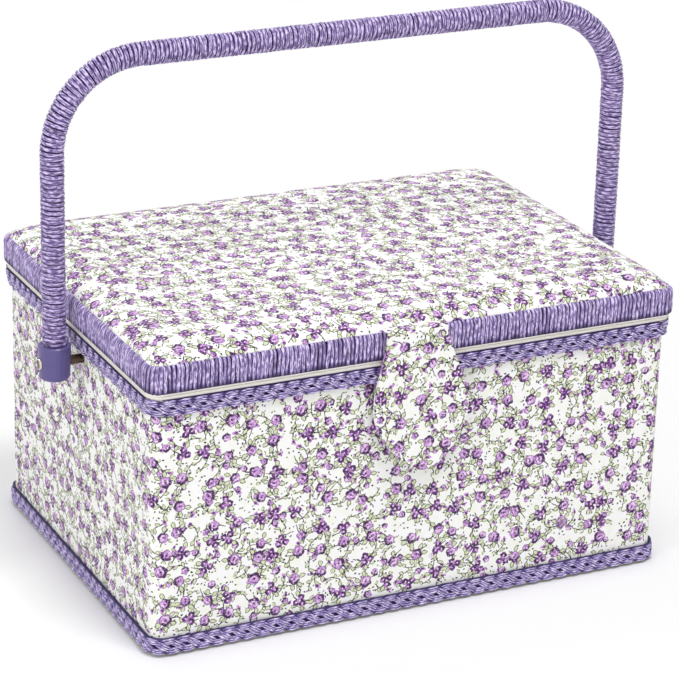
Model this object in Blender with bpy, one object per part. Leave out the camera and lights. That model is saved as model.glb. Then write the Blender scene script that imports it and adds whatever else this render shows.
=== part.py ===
"""Sewing basket: a cloth-covered box with a padded hinged lid, a fold-over tab, a swinging wound
handle and a lift-out tray. Metres, +Z up, the long front face towards -Y. The origin is the middle
of the underside."""
import math

import bmesh
import bpy
from mathutils import Vector

# The box, over its cloth
BODY_LENGTH = 0.3135
BODY_WIDTH = 0.2235
BODY_CORNER = 0.008
PARTING_HEIGHT = 0.1525
PARTING_GAP = 0.0004
SEAT_GAP = 0.0003
BASE_COVER_THICKNESS = 0.0009
BASE_BOARD_THICKNESS = 0.003
BASE_LINING_THICKNESS = 0.0015
COVER_THICKNESS = 0.0008
WALL_THICKNESS = 0.003
LINING_THICKNESS = 0.0012

# Trim round the box
BINDING_HEIGHT = 0.0029
BODY_BINDING_OVERHANG = 0.0018
BRAID_HEIGHT = 0.009
BRAID_THICKNESS = 0.0017
BRAID_SOFT_EDGE = 0.0018
BRAID_FOOT = 0.0003

# The lid
LID_OVERHANG = 0.00375
LID_CORNER_EASE = 0.0005
LID_BINDING_INSET = 0.0015
LID_BINDING_WIDTH = 0.005
RIM_HEIGHT = 0.0135
RIM_CORD_THICKNESS = 0.0014
RIM_CORD_RELIEF = 0.0005
RIM_STRIP_THICKNESS = 0.0032
RIM_SHOULDER = 0.0016
RIM_STEPS_LONG = 56
RIM_STEPS_SHORT = 40
LID_BOARD_THICKNESS = 0.003
LID_LINING_THICKNESS = 0.0026
LID_COVER_THICKNESS = 0.001
CROWN_HEIGHT = 0.008
CROWN_DOME = 0.0012
CROWN_ROLL = 0.026
PAD_CLEARANCE = 0.0009
CROWN_STEPS_LONG = 20
CROWN_STEPS_SHORT = 14

# The pincushion inside the lid, with the share of its depth at each level and how far it draws in
# there, as a share of its depth
PINCUSHION_LENGTH = 0.074
PINCUSHION_WIDTH = 0.052
PINCUSHION_CORNER = 0.016
PINCUSHION_DEPTH = 0.009
PINCUSHION_SHARES = ((0, 0.35), (0.15, 0.08), (0.4, 0), (0.7, 0.25), (0.9, 0.8), (1, 1.7))

# The cloth hinge along the back
HINGE_LENGTH = 0.25
HINGE_CLOTH_THICKNESS = 0.0012
HINGE_CLEARANCE = 0.0005

# The tab and its magnetic catch
TAB_CENTRE = -0.006
TAB_LEAN_SHARE = 0.085
TAB_NECK_WIDTH = 0.036
TAB_WIDTH = 0.0568
TAB_WIDEST_DROP = 0.047
TAB_LENGTH = 0.084
TAB_TAPER_SHARE = 0.3
TAB_FLARE_STEPS = 9
TAB_END_STEPS = 9
TAB_THICKNESS = 0.0029
TAB_SKIN = 0.001
TAB_EDGE = 0.0016
TAB_LINING_THICKNESS = 0.0006
TAB_STAND_OFF = 0.0006
TAB_ROOT_DEPTH = 0.0056
TAB_ROOT_THICKNESS = 0.001
TAB_ROOT_NARROWING = 0.001
MAGNET_RADIUS = 0.006
MAGNET_THICKNESS = 0.0016
MAGNET_GAP = 0.0005
MAGNET_PLATE_RADIUS = 0.0072

# The handle
HANDLE_SIDE_CLEARANCE = 0.0062
HANDLE_RISE = 0.17
HANDLE_BEND_RADIUS = 0.051
PIVOT_DROP = 0.016
PIVOT_FORWARD = 0.01
CORE_RADIUS = 0.0042
CORE_CLEARANCE = 0.0004
WINDING_RADIUS = 0.0067
WINDING_RELIEF = 0.0006
WINDING_TURNS = 132
TUBE_SIDES = 8
BEND_STEPS = 12
CAP_RADIUS = 0.00915
CAP_FOOT_RADIUS = 0.0086
CAP_ABOVE_PIVOT = 0.0108
CAP_BELOW_PIVOT = 0.0092
CAP_EDGE = 0.0014
CAP_SOCKET_CLEARANCE = 0.0003
CAP_SOCKET_FLOOR = 0.0045
SPOT_FACE_DEPTH = 0.0009
CAP_STEPS = 24
CAP_ROUND_SHARE = 0.3

# The pivot hardware
SHANK_RADIUS = 0.002
BORE_CLEARANCE = 0.0003
SPACER_RADIUS = 0.0027
SCREW_HEAD_RADIUS = 0.0032
SCREW_HEAD_HEIGHT = 0.0022
WASHER_RADIUS = 0.0052
WASHER_THICKNESS = 0.0008
NUT_RADIUS = 0.0038
NUT_THICKNESS = 0.003
NUT_CROWN = 0.0009
NUT_FLAT_SHARE = 0.6
NUT_CROWN_SHARE = 0.6
HEAD_SHARES = ((0, 1), (0.35, 0.94), (0.7, 0.68), (1, 0.25))

# The tray and its ledges. Each row of pockets has the shares of the tray's width where it starts
# and ends, and the shares of its length where its pockets are parted.
POCKET_SHARES = ((0, 0.3, (0, 1)), (0.3, 0.68, (0, 0.32, 0.66, 1)), (0.68, 1, (0, 0.55, 1)))
TRAY_DROP = 0.019
TRAY_DEPTH = 0.038
TRAY_HARDWARE_CLEARANCE = 0.002
TRAY_END_CLEARANCE = 0.0022
TRAY_CORNER = 0.009
TRAY_WALL = 0.0016
TRAY_FLOOR = 0.0016
TRAY_DRAFT = 0.0012
TRAY_FLANGE = 0.003
TRAY_FLANGE_THICKNESS = 0.0018
POCKET_CORNER = 0.006
POCKET_FILLET = 0.002
LEDGE_WIDTH = 0.015
LEDGE_THICKNESS = 0.003
LEDGE_LENGTH = 0.16

# How finely round forms are cut, and how far a cut runs past what it cuts
CORNER_STEPS = 5
ROUND_STEPS = 16
CUT_OVERRUN = 0.002

# Sizes that follow from those above
HALF_LENGTH = BODY_LENGTH / 2
HALF_WIDTH = BODY_WIDTH / 2
COVER_INNER = COVER_THICKNESS
WALL_OUTER = COVER_INNER + SEAT_GAP
WALL_INNER = WALL_OUTER + WALL_THICKNESS
LINING_OUTER = WALL_INNER + SEAT_GAP
LINING_INNER = LINING_OUTER + LINING_THICKNESS
BODY_TOP = PARTING_HEIGHT - PARTING_GAP / 2
WALL_TOP = BODY_TOP - BINDING_HEIGHT - SEAT_GAP
WALL_FOOT = BASE_COVER_THICKNESS + SEAT_GAP
BASE_BOARD_TOP = WALL_FOOT + BASE_BOARD_THICKNESS
LINING_FLOOR = BASE_BOARD_TOP + SEAT_GAP
LID_FOOT = PARTING_HEIGHT + PARTING_GAP / 2
HALF_LID_LENGTH = HALF_LENGTH + LID_OVERHANG
HALF_LID_WIDTH = HALF_WIDTH + LID_OVERHANG
LID_CORNER = BODY_CORNER + LID_CORNER_EASE
RIM_FOOT = LID_FOOT + BINDING_HEIGHT + SEAT_GAP
RIM_TOP = RIM_FOOT + RIM_HEIGHT
LINING_LID_FOOT = LID_FOOT + SEAT_GAP
LID_BOARD_FOOT = RIM_FOOT + SEAT_GAP
LID_BOARD_TOP = LID_BOARD_FOOT + LID_BOARD_THICKNESS
STRIP_INSET = RIM_CORD_THICKNESS + SEAT_GAP
PAD_INSET = STRIP_INSET + RIM_STRIP_THICKNESS + 2 * SEAT_GAP
HINGE_Y = HALF_LID_WIDTH + HINGE_CLEARANCE
TAB_FRONT = -HALF_LID_WIDTH - TAB_STAND_OFF - TAB_THICKNESS
TAB_HINGE_Y = -HALF_LID_WIDTH - TAB_STAND_OFF
TAB_HINGE_Z = RIM_TOP + SEAT_GAP + TAB_ROOT_THICKNESS
HALF_HANDLE_SPAN = HALF_LID_LENGTH + HANDLE_SIDE_CLEARANCE + WINDING_RADIUS
PIVOT_HEIGHT = PARTING_HEIGHT - PIVOT_DROP
PIVOT_Y = -PIVOT_FORWARD
BORE_RADIUS = SHANK_RADIUS + BORE_CLEARANCE
SOCKET_RADIUS = WINDING_RADIUS + CAP_SOCKET_CLEARANCE
LEG_FOOT = PIVOT_HEIGHT + CAP_SOCKET_FLOOR + SEAT_GAP
PIVOT_HARDWARE = SEAT_GAP + WASHER_THICKNESS + SEAT_GAP + NUT_THICKNESS
TRAY_HALF_LENGTH = HALF_LENGTH - LINING_INNER - PIVOT_HARDWARE - TRAY_HARDWARE_CLEARANCE
TRAY_HALF_WIDTH = HALF_WIDTH - LINING_INNER - TRAY_END_CLEARANCE
TRAY_TOP = PARTING_HEIGHT - TRAY_DROP
TRAY_FOOT = TRAY_TOP - TRAY_DEPTH


def clear_scene():
    """Starts from an empty scene."""
    for item in list(bpy.data.objects):
        bpy.data.objects.remove(item, do_unlink=True)


def finish(name, red, green, blue, roughness, metallic=0.0):
    """A plain surface for one kind of material."""
    made = bpy.data.materials.new(name)
    made.use_nodes = True
    shader = made.node_tree.nodes["Principled BSDF"]
    shader.inputs["Base Color"].default_value = (red, green, blue, 1.0)
    shader.inputs["Roughness"].default_value = roughness
    shader.inputs["Metallic"].default_value = metallic
    made.diffuse_color = (red, green, blue, 1.0)
    return made


def add_object(name, mesh, material):
    """Puts a mesh in the scene under its node's name."""
    mesh.materials.append(material)
    item = bpy.data.objects.new(name, mesh)
    bpy.context.collection.objects.link(item)
    return item


def loft(name, loops, material, closed=False):
    """Skins a list of loops of points. A closed list joins its last loop to its first, as round a
    ring, and any other gets a flat cap at each end."""
    shape = bmesh.new()
    rows = [[shape.verts.new(point) for point in loop] for loop in loops]
    pairs = list(zip(rows, rows[1:]))
    if closed:
        pairs.append((rows[-1], rows[0]))
    for low, high in pairs:
        for i in range(len(low)):
            j = (i + 1) % len(low)
            shape.faces.new((low[i], low[j], high[j], high[i]))
    if not closed:
        shape.faces.new(reversed(rows[0]))
        shape.faces.new(rows[-1])
    bmesh.ops.recalc_face_normals(shape, faces=shape.faces)
    mesh = bpy.data.meshes.new(name)
    shape.to_mesh(mesh)
    shape.free()
    return add_object(name, mesh, material)


def arc(centre_x, centre_y, radius, start, end, steps):
    """Points on an arc in plan, its angles in degrees."""
    points = []
    for k in range(steps + 1):
        angle = math.radians(start + (end - start) * k / steps)
        points.append((centre_x + radius * math.cos(angle), centre_y + radius * math.sin(angle)))
    return points


def rounded_rectangle(half_x, half_y, radius, steps_x=1, steps_y=1):
    """A rectangle with round corners in plan, anticlockwise from the right front corner. Its long
    and short sides are split into the given numbers of steps."""
    corners = ((1, -1, -90, steps_y), (1, 1, 0, steps_x), (-1, 1, 90, steps_y), (-1, -1, 180, steps_x))
    points = []
    for sign_x, sign_y, start, _ in corners:
        points.append(arc(sign_x * (half_x - radius), sign_y * (half_y - radius), radius,
                          start, start + 90, CORNER_STEPS))
    outline = []
    for k, (_, _, _, steps) in enumerate(corners):
        outline.extend(points[k])
        last, following = points[k][-1], points[(k + 1) % len(points)][0]
        for step in range(1, steps):
            share = step / steps
            outline.append((last[0] + (following[0] - last[0]) * share,
                            last[1] + (following[1] - last[1]) * share))
    return outline


def at_height(outline, height):
    """Lifts a plan outline to a height."""
    return [(x, y, height) for x, y in outline]


def inset_outline(half_x, half_y, radius, inset, **steps):
    """The outline of a size, drawn in by an inset on every side, with its corners concentric."""
    return rounded_rectangle(half_x - inset, half_y - inset, max(radius - inset, SEAT_GAP), **steps)


def body_outline(inset):
    """The box's plan outline, drawn in from the face of its cloth."""
    return inset_outline(HALF_LENGTH, HALF_WIDTH, BODY_CORNER, inset)


def lid_outline(inset, **steps):
    """The lid's plan outline, drawn in from the crests of its rim."""
    return inset_outline(HALF_LID_LENGTH, HALF_LID_WIDTH, LID_CORNER, inset, **steps)


def plate(name, outline, low, high, material):
    """A flat sheet between two heights."""
    return loft(name, [at_height(outline, low), at_height(outline, high)], material)


def ring(name, outer, inner, low, high, material):
    """An upright strip round a plan outline."""
    loops = [at_height(outer, low), at_height(outer, high), at_height(inner, high),
             at_height(inner, low)]
    return loft(name, loops, material, closed=True)


def circle(centre, along, radius, steps=ROUND_STEPS):
    """A circle of points round a centre, square to the axis named X, Y or Z."""
    points = []
    for k in range(steps):
        angle = 2 * math.pi * k / steps
        a, b = radius * math.cos(angle), radius * math.sin(angle)
        offset = {"X": (0, a, b), "Y": (b, 0, a), "Z": (a, b, 0)}[along]
        points.append(tuple(Vector(centre) + Vector(offset)))
    return points


def turned(name, centre, along, profile, material, closed=False, steps=ROUND_STEPS):
    """A turned piece. The profile lists distance along the axis and radius."""
    direction = Vector({"X": (1, 0, 0), "Y": (0, 1, 0), "Z": (0, 0, 1)}[along])
    loops = [circle(Vector(centre) + direction * distance, along, radius, steps)
             for distance, radius in profile]
    return loft(name, loops, material, closed)


def cut(item, cutter):
    """Takes a hidden cutter out of a piece."""
    cutter.hide_render = True
    cutter.display_type = "WIRE"
    modifier = item.modifiers.new("cut_" + cutter.name, "BOOLEAN")
    modifier.operation = "DIFFERENCE"
    modifier.solver = "EXACT"
    modifier.object = cutter


def wall_sector(first):
    """One wall board in plan, from the middle of a corner to the middle of the next, with a mitre
    at each end. Corners count anticlockwise from the right front one."""
    signs = ((1, -1), (1, 1), (-1, 1), (-1, -1))
    points = []
    for inset, outward in ((WALL_OUTER, True), (WALL_INNER, False)):
        radius = BODY_CORNER - inset
        slack = math.degrees(math.asin(SEAT_GAP / 2 / radius))
        halves = []
        for corner, early in ((first, True), ((first + 1) % 4, False)):
            start = -90 + 90 * corner
            begin = start + 45 + slack if early else start
            end = start + 90 if early else start + 45 - slack
            sign_x, sign_y = signs[corner]
            halves.append(arc(sign_x * (HALF_LENGTH - BODY_CORNER), sign_y * (HALF_WIDTH - BODY_CORNER),
                              radius, begin, end, CORNER_STEPS - 2))
        path = halves[0] + halves[1]
        points.extend(path if outward else reversed(path))
    return points


def build_box(looks):
    """The base, the four wall boards, the cloth outside and the lining inside."""
    pieces = [
        plate("base_cover", body_outline(0), 0, BASE_COVER_THICKNESS, looks["backing"]),
        plate("base_board", body_outline(WALL_INNER + SEAT_GAP), WALL_FOOT, BASE_BOARD_TOP,
              looks["board"]),
        ring("outer_cover", body_outline(0), body_outline(COVER_INNER), WALL_FOOT, WALL_TOP,
             looks["print"]),
        ring("lining_walls", body_outline(LINING_OUTER), body_outline(LINING_INNER), LINING_FLOOR,
             WALL_TOP, looks["lining"]),
        plate("lining_base", body_outline(LINING_INNER + SEAT_GAP), LINING_FLOOR,
              LINING_FLOOR + BASE_LINING_THICKNESS, looks["lining"]),
    ]
    for corner, side in enumerate(("right", "back", "left", "front")):
        pieces.append(plate("wall_" + side, wall_sector(corner), WALL_FOOT, WALL_TOP, looks["board"]))
    return {piece.name: piece for piece in pieces}


def build_body_binding(looks):
    """The cream binding that closes the wall's top edge, let in at the back for the hinge cloth."""
    binding = ring("body_binding", body_outline(-BODY_BINDING_OVERHANG), body_outline(LINING_INNER),
                   WALL_TOP + SEAT_GAP, BODY_TOP, looks["binding"])
    return binding


def build_braid(name, foot, looks):
    """A flat plaited braid round the box, with soft edges."""
    shoulder = BRAID_THICKNESS / 2
    profile = ((0, 0), (shoulder, 0), (BRAID_THICKNESS, BRAID_SOFT_EDGE),
               (BRAID_THICKNESS, BRAID_HEIGHT - BRAID_SOFT_EDGE), (shoulder, BRAID_HEIGHT),
               (0, BRAID_HEIGHT))
    loops = [at_height(body_outline(-SEAT_GAP - out), foot + up) for out, up in profile]
    return loft(name, loops, looks["cord"], closed=True)


def build_hinge_cloth(name, face, low, high, looks):
    """One half of the cloth hinge, a folded strip on the back edge of the binding that carries it."""
    start = face + SEAT_GAP
    outline = [(-HINGE_LENGTH / 2, start), (HINGE_LENGTH / 2, start),
               (HINGE_LENGTH / 2, start + HINGE_CLOTH_THICKNESS),
               (-HINGE_LENGTH / 2, start + HINGE_CLOTH_THICKNESS)]
    return plate(name, outline, low, high, looks["binding"])


def build_rim(looks):
    """The strip that stands round the lid, and the cord wound over its outside and top."""
    strip = ring("rim_strip", lid_outline(STRIP_INSET), lid_outline(STRIP_INSET + RIM_STRIP_THICKNESS),
                 RIM_FOOT, RIM_TOP - STRIP_INSET, looks["board"])
    steps = {"steps_x": RIM_STEPS_LONG, "steps_y": RIM_STEPS_SHORT}
    inner = STRIP_INSET + RIM_STRIP_THICKNESS
    section = ((0, RIM_FOOT, True), (0, RIM_TOP - RIM_SHOULDER, True), (RIM_SHOULDER, RIM_TOP, False),
               (inner, RIM_TOP, False), (inner, RIM_TOP - RIM_CORD_THICKNESS, False),
               (RIM_CORD_THICKNESS, RIM_TOP - RIM_CORD_THICKNESS, False),
               (RIM_CORD_THICKNESS, RIM_FOOT, False))
    loops = []
    for inset, height, ribbed in section:
        crest = lid_outline(inset, **steps)
        valley = lid_outline(inset + RIM_CORD_RELIEF, **steps) if ribbed else crest
        plan = [valley[i] if i % 2 else crest[i] for i in range(len(crest))]
        loops.append(at_height(plan, height))
    winding = loft("rim_winding", loops, looks["cord"], closed=True)
    return strip, winding


def edge_spaced(steps):
    """Grid positions from -1 to 1 that crowd towards both ends, where the crown rolls over."""
    return [math.sin(math.pi / 2 * math.sin(math.pi / 2 * (2 * k / steps - 1))) for k in range(steps + 1)]


def crown_rise(x, y, half_x, half_y, height):
    """How far the padded top stands over its edge at a place in plan."""
    rise = height
    for place, half in ((x, half_x), (y, half_y)):
        depth = min((half - abs(place)) / CROWN_ROLL, 1.0)
        rise *= math.sqrt(max(1 - (1 - depth) ** 2, 0.0))
    dome = CROWN_DOME * (1 - (x / half_x) ** 2) * (1 - (y / half_y) ** 2)
    return rise + dome


def crowned(name, half_x, half_y, corner, edge_height, foot, height, steps_x, steps_y, material):
    """A solid with a crowned top, upright sides and a flat foot, its plan corners rounded."""
    shape = bmesh.new()
    rows = []
    for v in edge_spaced(steps_y):
        row = []
        for u in edge_spaced(steps_x):
            x, y = u * half_x, v * half_y
            z = edge_height + crown_rise(x, y, half_x, half_y, height)
            over_x, over_y = abs(x) - (half_x - corner), abs(y) - (half_y - corner)
            if over_x > 0 and over_y > 0:
                reach = max(over_x, over_y) / math.hypot(over_x, over_y)
                x = math.copysign(half_x - corner + over_x * reach, x)
                y = math.copysign(half_y - corner + over_y * reach, y)
            row.append(shape.verts.new((x, y, z)))
        rows.append(row)
    for low, high in zip(rows, rows[1:]):
        for i in range(steps_x):
            shape.faces.new((low[i], low[i + 1], high[i + 1], high[i]))
    border = [edge for edge in shape.edges if edge.is_boundary]
    wall = bmesh.ops.extrude_edge_only(shape, edges=border)["geom"]
    for vertex in (item for item in wall if isinstance(item, bmesh.types.BMVert)):
        vertex.co.z = foot
    rest = [edge for edge in shape.edges if edge.is_boundary]
    bmesh.ops.contextual_create(shape, geom=rest)
    bmesh.ops.recalc_face_normals(shape, faces=shape.faces)
    mesh = bpy.data.meshes.new(name)
    shape.to_mesh(mesh)
    shape.free()
    return add_object(name, mesh, material)


def build_padded_top(looks):
    """The lid board, the foam on it and the printed cloth stretched over the foam."""
    board = plate("lid_board", lid_outline(PAD_INSET), LID_BOARD_FOOT, LID_BOARD_TOP, looks["board"])
    half_x, half_y = HALF_LID_LENGTH - PAD_INSET, HALF_LID_WIDTH - PAD_INSET
    corner = LID_CORNER - PAD_INSET
    foot = LID_BOARD_TOP + SEAT_GAP
    cover = crowned("lid_cover", half_x, half_y, corner, RIM_TOP, foot, CROWN_HEIGHT,
                    CROWN_STEPS_LONG, CROWN_STEPS_SHORT, looks["print"])
    skin = LID_COVER_THICKNESS
    hollow = crowned("lid_cover_hollow", half_x - skin, half_y - skin, corner, RIM_TOP - skin,
                     foot - CUT_OVERRUN, CROWN_HEIGHT, CROWN_STEPS_LONG // 2, CROWN_STEPS_SHORT // 2,
                     looks["print"])
    cut(cover, hollow)
    inset = skin + PAD_CLEARANCE
    pad = crowned("lid_pad", half_x - inset, half_y - inset, corner, RIM_TOP - inset, foot,
                  CROWN_HEIGHT, CROWN_STEPS_LONG // 2, CROWN_STEPS_SHORT // 2, looks["foam"])
    return board, cover, pad


def build_lid_underside(looks):
    """The cream binding round the lid's lower edge, the lining inside it and the pincushion."""
    binding = ring("lid_binding", lid_outline(LID_BINDING_INSET),
                   lid_outline(LID_BINDING_INSET + LID_BINDING_WIDTH), LID_FOOT,
                   LID_FOOT + BINDING_HEIGHT, looks["binding"])
    inset = LID_BINDING_INSET + LID_BINDING_WIDTH + SEAT_GAP
    lining = plate("lid_lining", lid_outline(inset), LINING_LID_FOOT,
                   LINING_LID_FOOT + LID_LINING_THICKNESS, looks["lining"])
    half_x, half_y = PINCUSHION_LENGTH / 2, PINCUSHION_WIDTH / 2
    top = LINING_LID_FOOT - SEAT_GAP
    loops = []
    for drop_share, inset_share in PINCUSHION_SHARES:
        plan = inset_outline(half_x, half_y, PINCUSHION_CORNER, inset_share * PINCUSHION_DEPTH)
        loops.append(at_height(plan, top - drop_share * PINCUSHION_DEPTH))
    pincushion = loft("pincushion", loops, looks["lining"])
    return binding, lining, pincushion


def tab_place(drop):
    """The middle of the tab at a drop below its hinge line: it hangs a little askew."""
    return TAB_CENTRE + TAB_LEAN_SHARE * drop


def tab_outline(inset):
    """The tab's outline, as sideways place and drop below its hinge line: a straight neck that
    widens, and an end that narrows like the small end of an egg."""
    widest = TAB_WIDTH / 2 - inset
    neck = TAB_NECK_WIDTH / 2 - inset
    side = []
    for k in range(TAB_FLARE_STEPS):
        share = k / TAB_FLARE_STEPS
        swell = share * share * (3 - 2 * share)
        side.append((neck + (widest - neck) * swell, inset + (TAB_WIDEST_DROP - inset) * share))
    for k in range(TAB_END_STEPS):
        angle = math.pi / 2 * k / TAB_END_STEPS
        reach = widest * math.cos(angle) * (1 - TAB_TAPER_SHARE * math.sin(angle) ** 2)
        side.append((reach, TAB_WIDEST_DROP + (TAB_LENGTH - inset - TAB_WIDEST_DROP) * math.sin(angle)))
    tip = (0, TAB_LENGTH - inset)
    return [(-x, drop) for x, drop in side] + [tip] + side[::-1]


def tab_slab(name, inset, front, back, material):
    """A layer of the tab between two depths."""
    loops = [[(tab_place(drop) + x, depth, TAB_HINGE_Z - SEAT_GAP - drop) for x, drop in tab_outline(inset)]
             for depth in (front, back)]
    return loft(name, loops, material)


def build_tab(looks):
    """The tab's printed face turned over its edge, the card inside, the lining behind and the
    magnet on the lining, with the strip that joins the tab to the lid."""
    back = TAB_HINGE_Y - SEAT_GAP
    cover = tab_slab("tab_cover", 0, TAB_FRONT, back, looks["print"])
    pocket = tab_slab("tab_pocket", TAB_EDGE, TAB_FRONT + TAB_SKIN, back + CUT_OVERRUN, looks["print"])
    cut(cover, pocket)
    inset = TAB_EDGE + SEAT_GAP
    lining_front = back - TAB_LINING_THICKNESS
    card = tab_slab("tab_card", inset, TAB_FRONT + TAB_SKIN + SEAT_GAP, lining_front - SEAT_GAP,
                    looks["board"])
    lining = tab_slab("tab_lining", inset, lining_front, back, looks["lining"])
    height = TAB_HINGE_Z - TAB_WIDEST_DROP
    sideways = tab_place(TAB_WIDEST_DROP)
    magnet = turned("tab_magnet", (sideways, back + SEAT_GAP, height), "Y",
                    ((0, MAGNET_RADIUS), (MAGNET_THICKNESS, MAGNET_RADIUS)), looks["metal"])
    plate_back = -HALF_WIDTH - SEAT_GAP
    plate_front = back + SEAT_GAP + MAGNET_THICKNESS + MAGNET_GAP
    magnet_plate = turned("magnet_plate", (sideways, plate_front, height), "Y",
                          ((0, MAGNET_PLATE_RADIUS), (plate_back - plate_front, MAGNET_PLATE_RADIUS)),
                          looks["metal"])
    half_root = TAB_NECK_WIDTH / 2 - TAB_ROOT_NARROWING
    root_outline = [(TAB_CENTRE - half_root, TAB_HINGE_Y + SEAT_GAP),
                    (TAB_CENTRE + half_root, TAB_HINGE_Y + SEAT_GAP),
                    (TAB_CENTRE + half_root, TAB_HINGE_Y + TAB_ROOT_DEPTH),
                    (TAB_CENTRE - half_root, TAB_HINGE_Y + TAB_ROOT_DEPTH)]
    root = plate("tab_root", root_outline, RIM_TOP + SEAT_GAP, TAB_HINGE_Z, looks["print"])
    return cover, card, lining, magnet, magnet_plate, root


def handle_place(distance):
    """The point and direction at a distance along the handle's centre line, from the left leg's
    foot. Distances outside it run on along the legs."""
    leg = PIVOT_HEIGHT + HANDLE_RISE - HANDLE_BEND_RADIUS - LEG_FOOT
    bend = math.pi / 2 * HANDLE_BEND_RADIUS
    bar = 2 * (HALF_HANDLE_SPAN - HANDLE_BEND_RADIUS)
    top = PIVOT_HEIGHT + HANDLE_RISE
    if distance <= leg:
        return Vector((-HALF_HANDLE_SPAN, PIVOT_Y, LEG_FOOT + distance)), Vector((0, 0, 1))
    distance -= leg
    if distance <= bend:
        turn = distance / HANDLE_BEND_RADIUS
        centre = Vector((-HALF_HANDLE_SPAN + HANDLE_BEND_RADIUS, PIVOT_Y, top - HANDLE_BEND_RADIUS))
        spoke = Vector((-math.cos(turn), 0, math.sin(turn)))
        return centre + spoke * HANDLE_BEND_RADIUS, Vector((math.sin(turn), 0, math.cos(turn)))
    distance -= bend
    if distance <= bar:
        return Vector((-HALF_HANDLE_SPAN + HANDLE_BEND_RADIUS + distance, PIVOT_Y, top)), Vector((1, 0, 0))
    distance -= bar
    if distance <= bend:
        turn = distance / HANDLE_BEND_RADIUS
        centre = Vector((HALF_HANDLE_SPAN - HANDLE_BEND_RADIUS, PIVOT_Y, top - HANDLE_BEND_RADIUS))
        spoke = Vector((math.sin(turn), 0, math.cos(turn)))
        return centre + spoke * HANDLE_BEND_RADIUS, Vector((math.cos(turn), 0, -math.sin(turn)))
    distance -= bend
    return Vector((HALF_HANDLE_SPAN, PIVOT_Y, LEG_FOOT + leg - distance)), Vector((0, 0, -1))


def handle_length():
    """The length of the handle's centre line."""
    leg = PIVOT_HEIGHT + HANDLE_RISE - HANDLE_BEND_RADIUS - LEG_FOOT
    return 2 * leg + math.pi * HANDLE_BEND_RADIUS + 2 * (HALF_HANDLE_SPAN - HANDLE_BEND_RADIUS)


def handle_ring_point(distance, angle, radius):
    """A point on the handle's surface, at an angle round its centre line."""
    centre, along = handle_place(distance)
    sideways = Vector((0, 1, 0))
    outward = along.cross(sideways)
    return centre + (sideways * math.sin(angle) + outward * math.cos(angle)) * radius


def handle_stations():
    """Distances along the handle where a plain tube needs a ring: its ends and round its bends."""
    leg = PIVOT_HEIGHT + HANDLE_RISE - HANDLE_BEND_RADIUS - LEG_FOOT
    bend = math.pi / 2 * HANDLE_BEND_RADIUS
    bar = 2 * (HALF_HANDLE_SPAN - HANDLE_BEND_RADIUS)
    first = [leg + bend * k / BEND_STEPS for k in range(BEND_STEPS + 1)]
    second = [leg + bend + bar + bend * k / BEND_STEPS for k in range(BEND_STEPS + 1)]
    return [0] + first + second + [handle_length()]


def build_handle_core(looks):
    """The bent rod inside the winding, a swept curve with filled ends."""
    curve = bpy.data.curves.new("handle_core", "CURVE")
    curve.dimensions = "3D"
    curve.bevel_depth = CORE_RADIUS
    curve.bevel_resolution = 2
    curve.use_fill_caps = True
    spline = curve.splines.new("POLY")
    stations = handle_stations()
    spline.points.add(len(stations) - 1)
    for point, distance in zip(spline.points, stations):
        place, _ = handle_place(distance)
        point.co = (*place, 1)
    curve.materials.append(looks["board"])
    item = bpy.data.objects.new("handle_core", curve)
    bpy.context.collection.objects.link(item)
    return item


def build_handle_winding(looks):
    """The cord wound on the handle: one ridge that climbs round the core from foot to foot, with
    its valley between the turns. It starts and ends flat, and its bore clears the core."""
    total = handle_length()
    pitch = total / WINDING_TURNS
    count = (WINDING_TURNS + 3) * TUBE_SIDES
    shape = bmesh.new()
    ridge, valley = [], []
    for k in range(count):
        angle = 2 * math.pi * k / TUBE_SIDES
        distance = (k / TUBE_SIDES - 1.5) * pitch
        ridge.append(shape.verts.new(handle_ring_point(distance, angle, WINDING_RADIUS)))
        half_on = distance + pitch / 2
        valley.append(shape.verts.new(handle_ring_point(half_on, angle, WINDING_RADIUS - WINDING_RELIEF)))
    for k in range(count - 1):
        shape.faces.new((ridge[k], ridge[k + 1], valley[k + 1], valley[k]))
        ahead = k + TUBE_SIDES
        if ahead + 1 < count:
            shape.faces.new((valley[k], valley[k + 1], ridge[ahead + 1], ridge[ahead]))
    bmesh.ops.bisect_plane(shape, geom=shape.verts[:] + shape.edges[:] + shape.faces[:],
                           plane_co=(0, 0, LEG_FOOT), plane_no=(0, 0, 1), clear_inner=True)
    bore = CORE_RADIUS + CORE_CLEARANCE
    rings = []
    for distance in handle_stations():
        rings.append([shape.verts.new(handle_ring_point(distance, 2 * math.pi * k / TUBE_SIDES, bore))
                      for k in range(TUBE_SIDES)])
    for low, high in zip(rings, rings[1:]):
        for i in range(TUBE_SIDES):
            j = (i + 1) % TUBE_SIDES
            shape.faces.new((low[i], high[i], high[j], low[j]))
    for side in (-1, 1):
        open_edges = [edge for edge in shape.edges
                      if edge.is_boundary and edge.verts[0].co.x * side > 0]
        bmesh.ops.bridge_loops(shape, edges=open_edges)
    bmesh.ops.recalc_face_normals(shape, faces=shape.faces)
    mesh = bpy.data.meshes.new("handle_winding")
    shape.to_mesh(mesh)
    shape.free()
    return add_object("handle_winding", mesh, looks["cord"])


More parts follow.
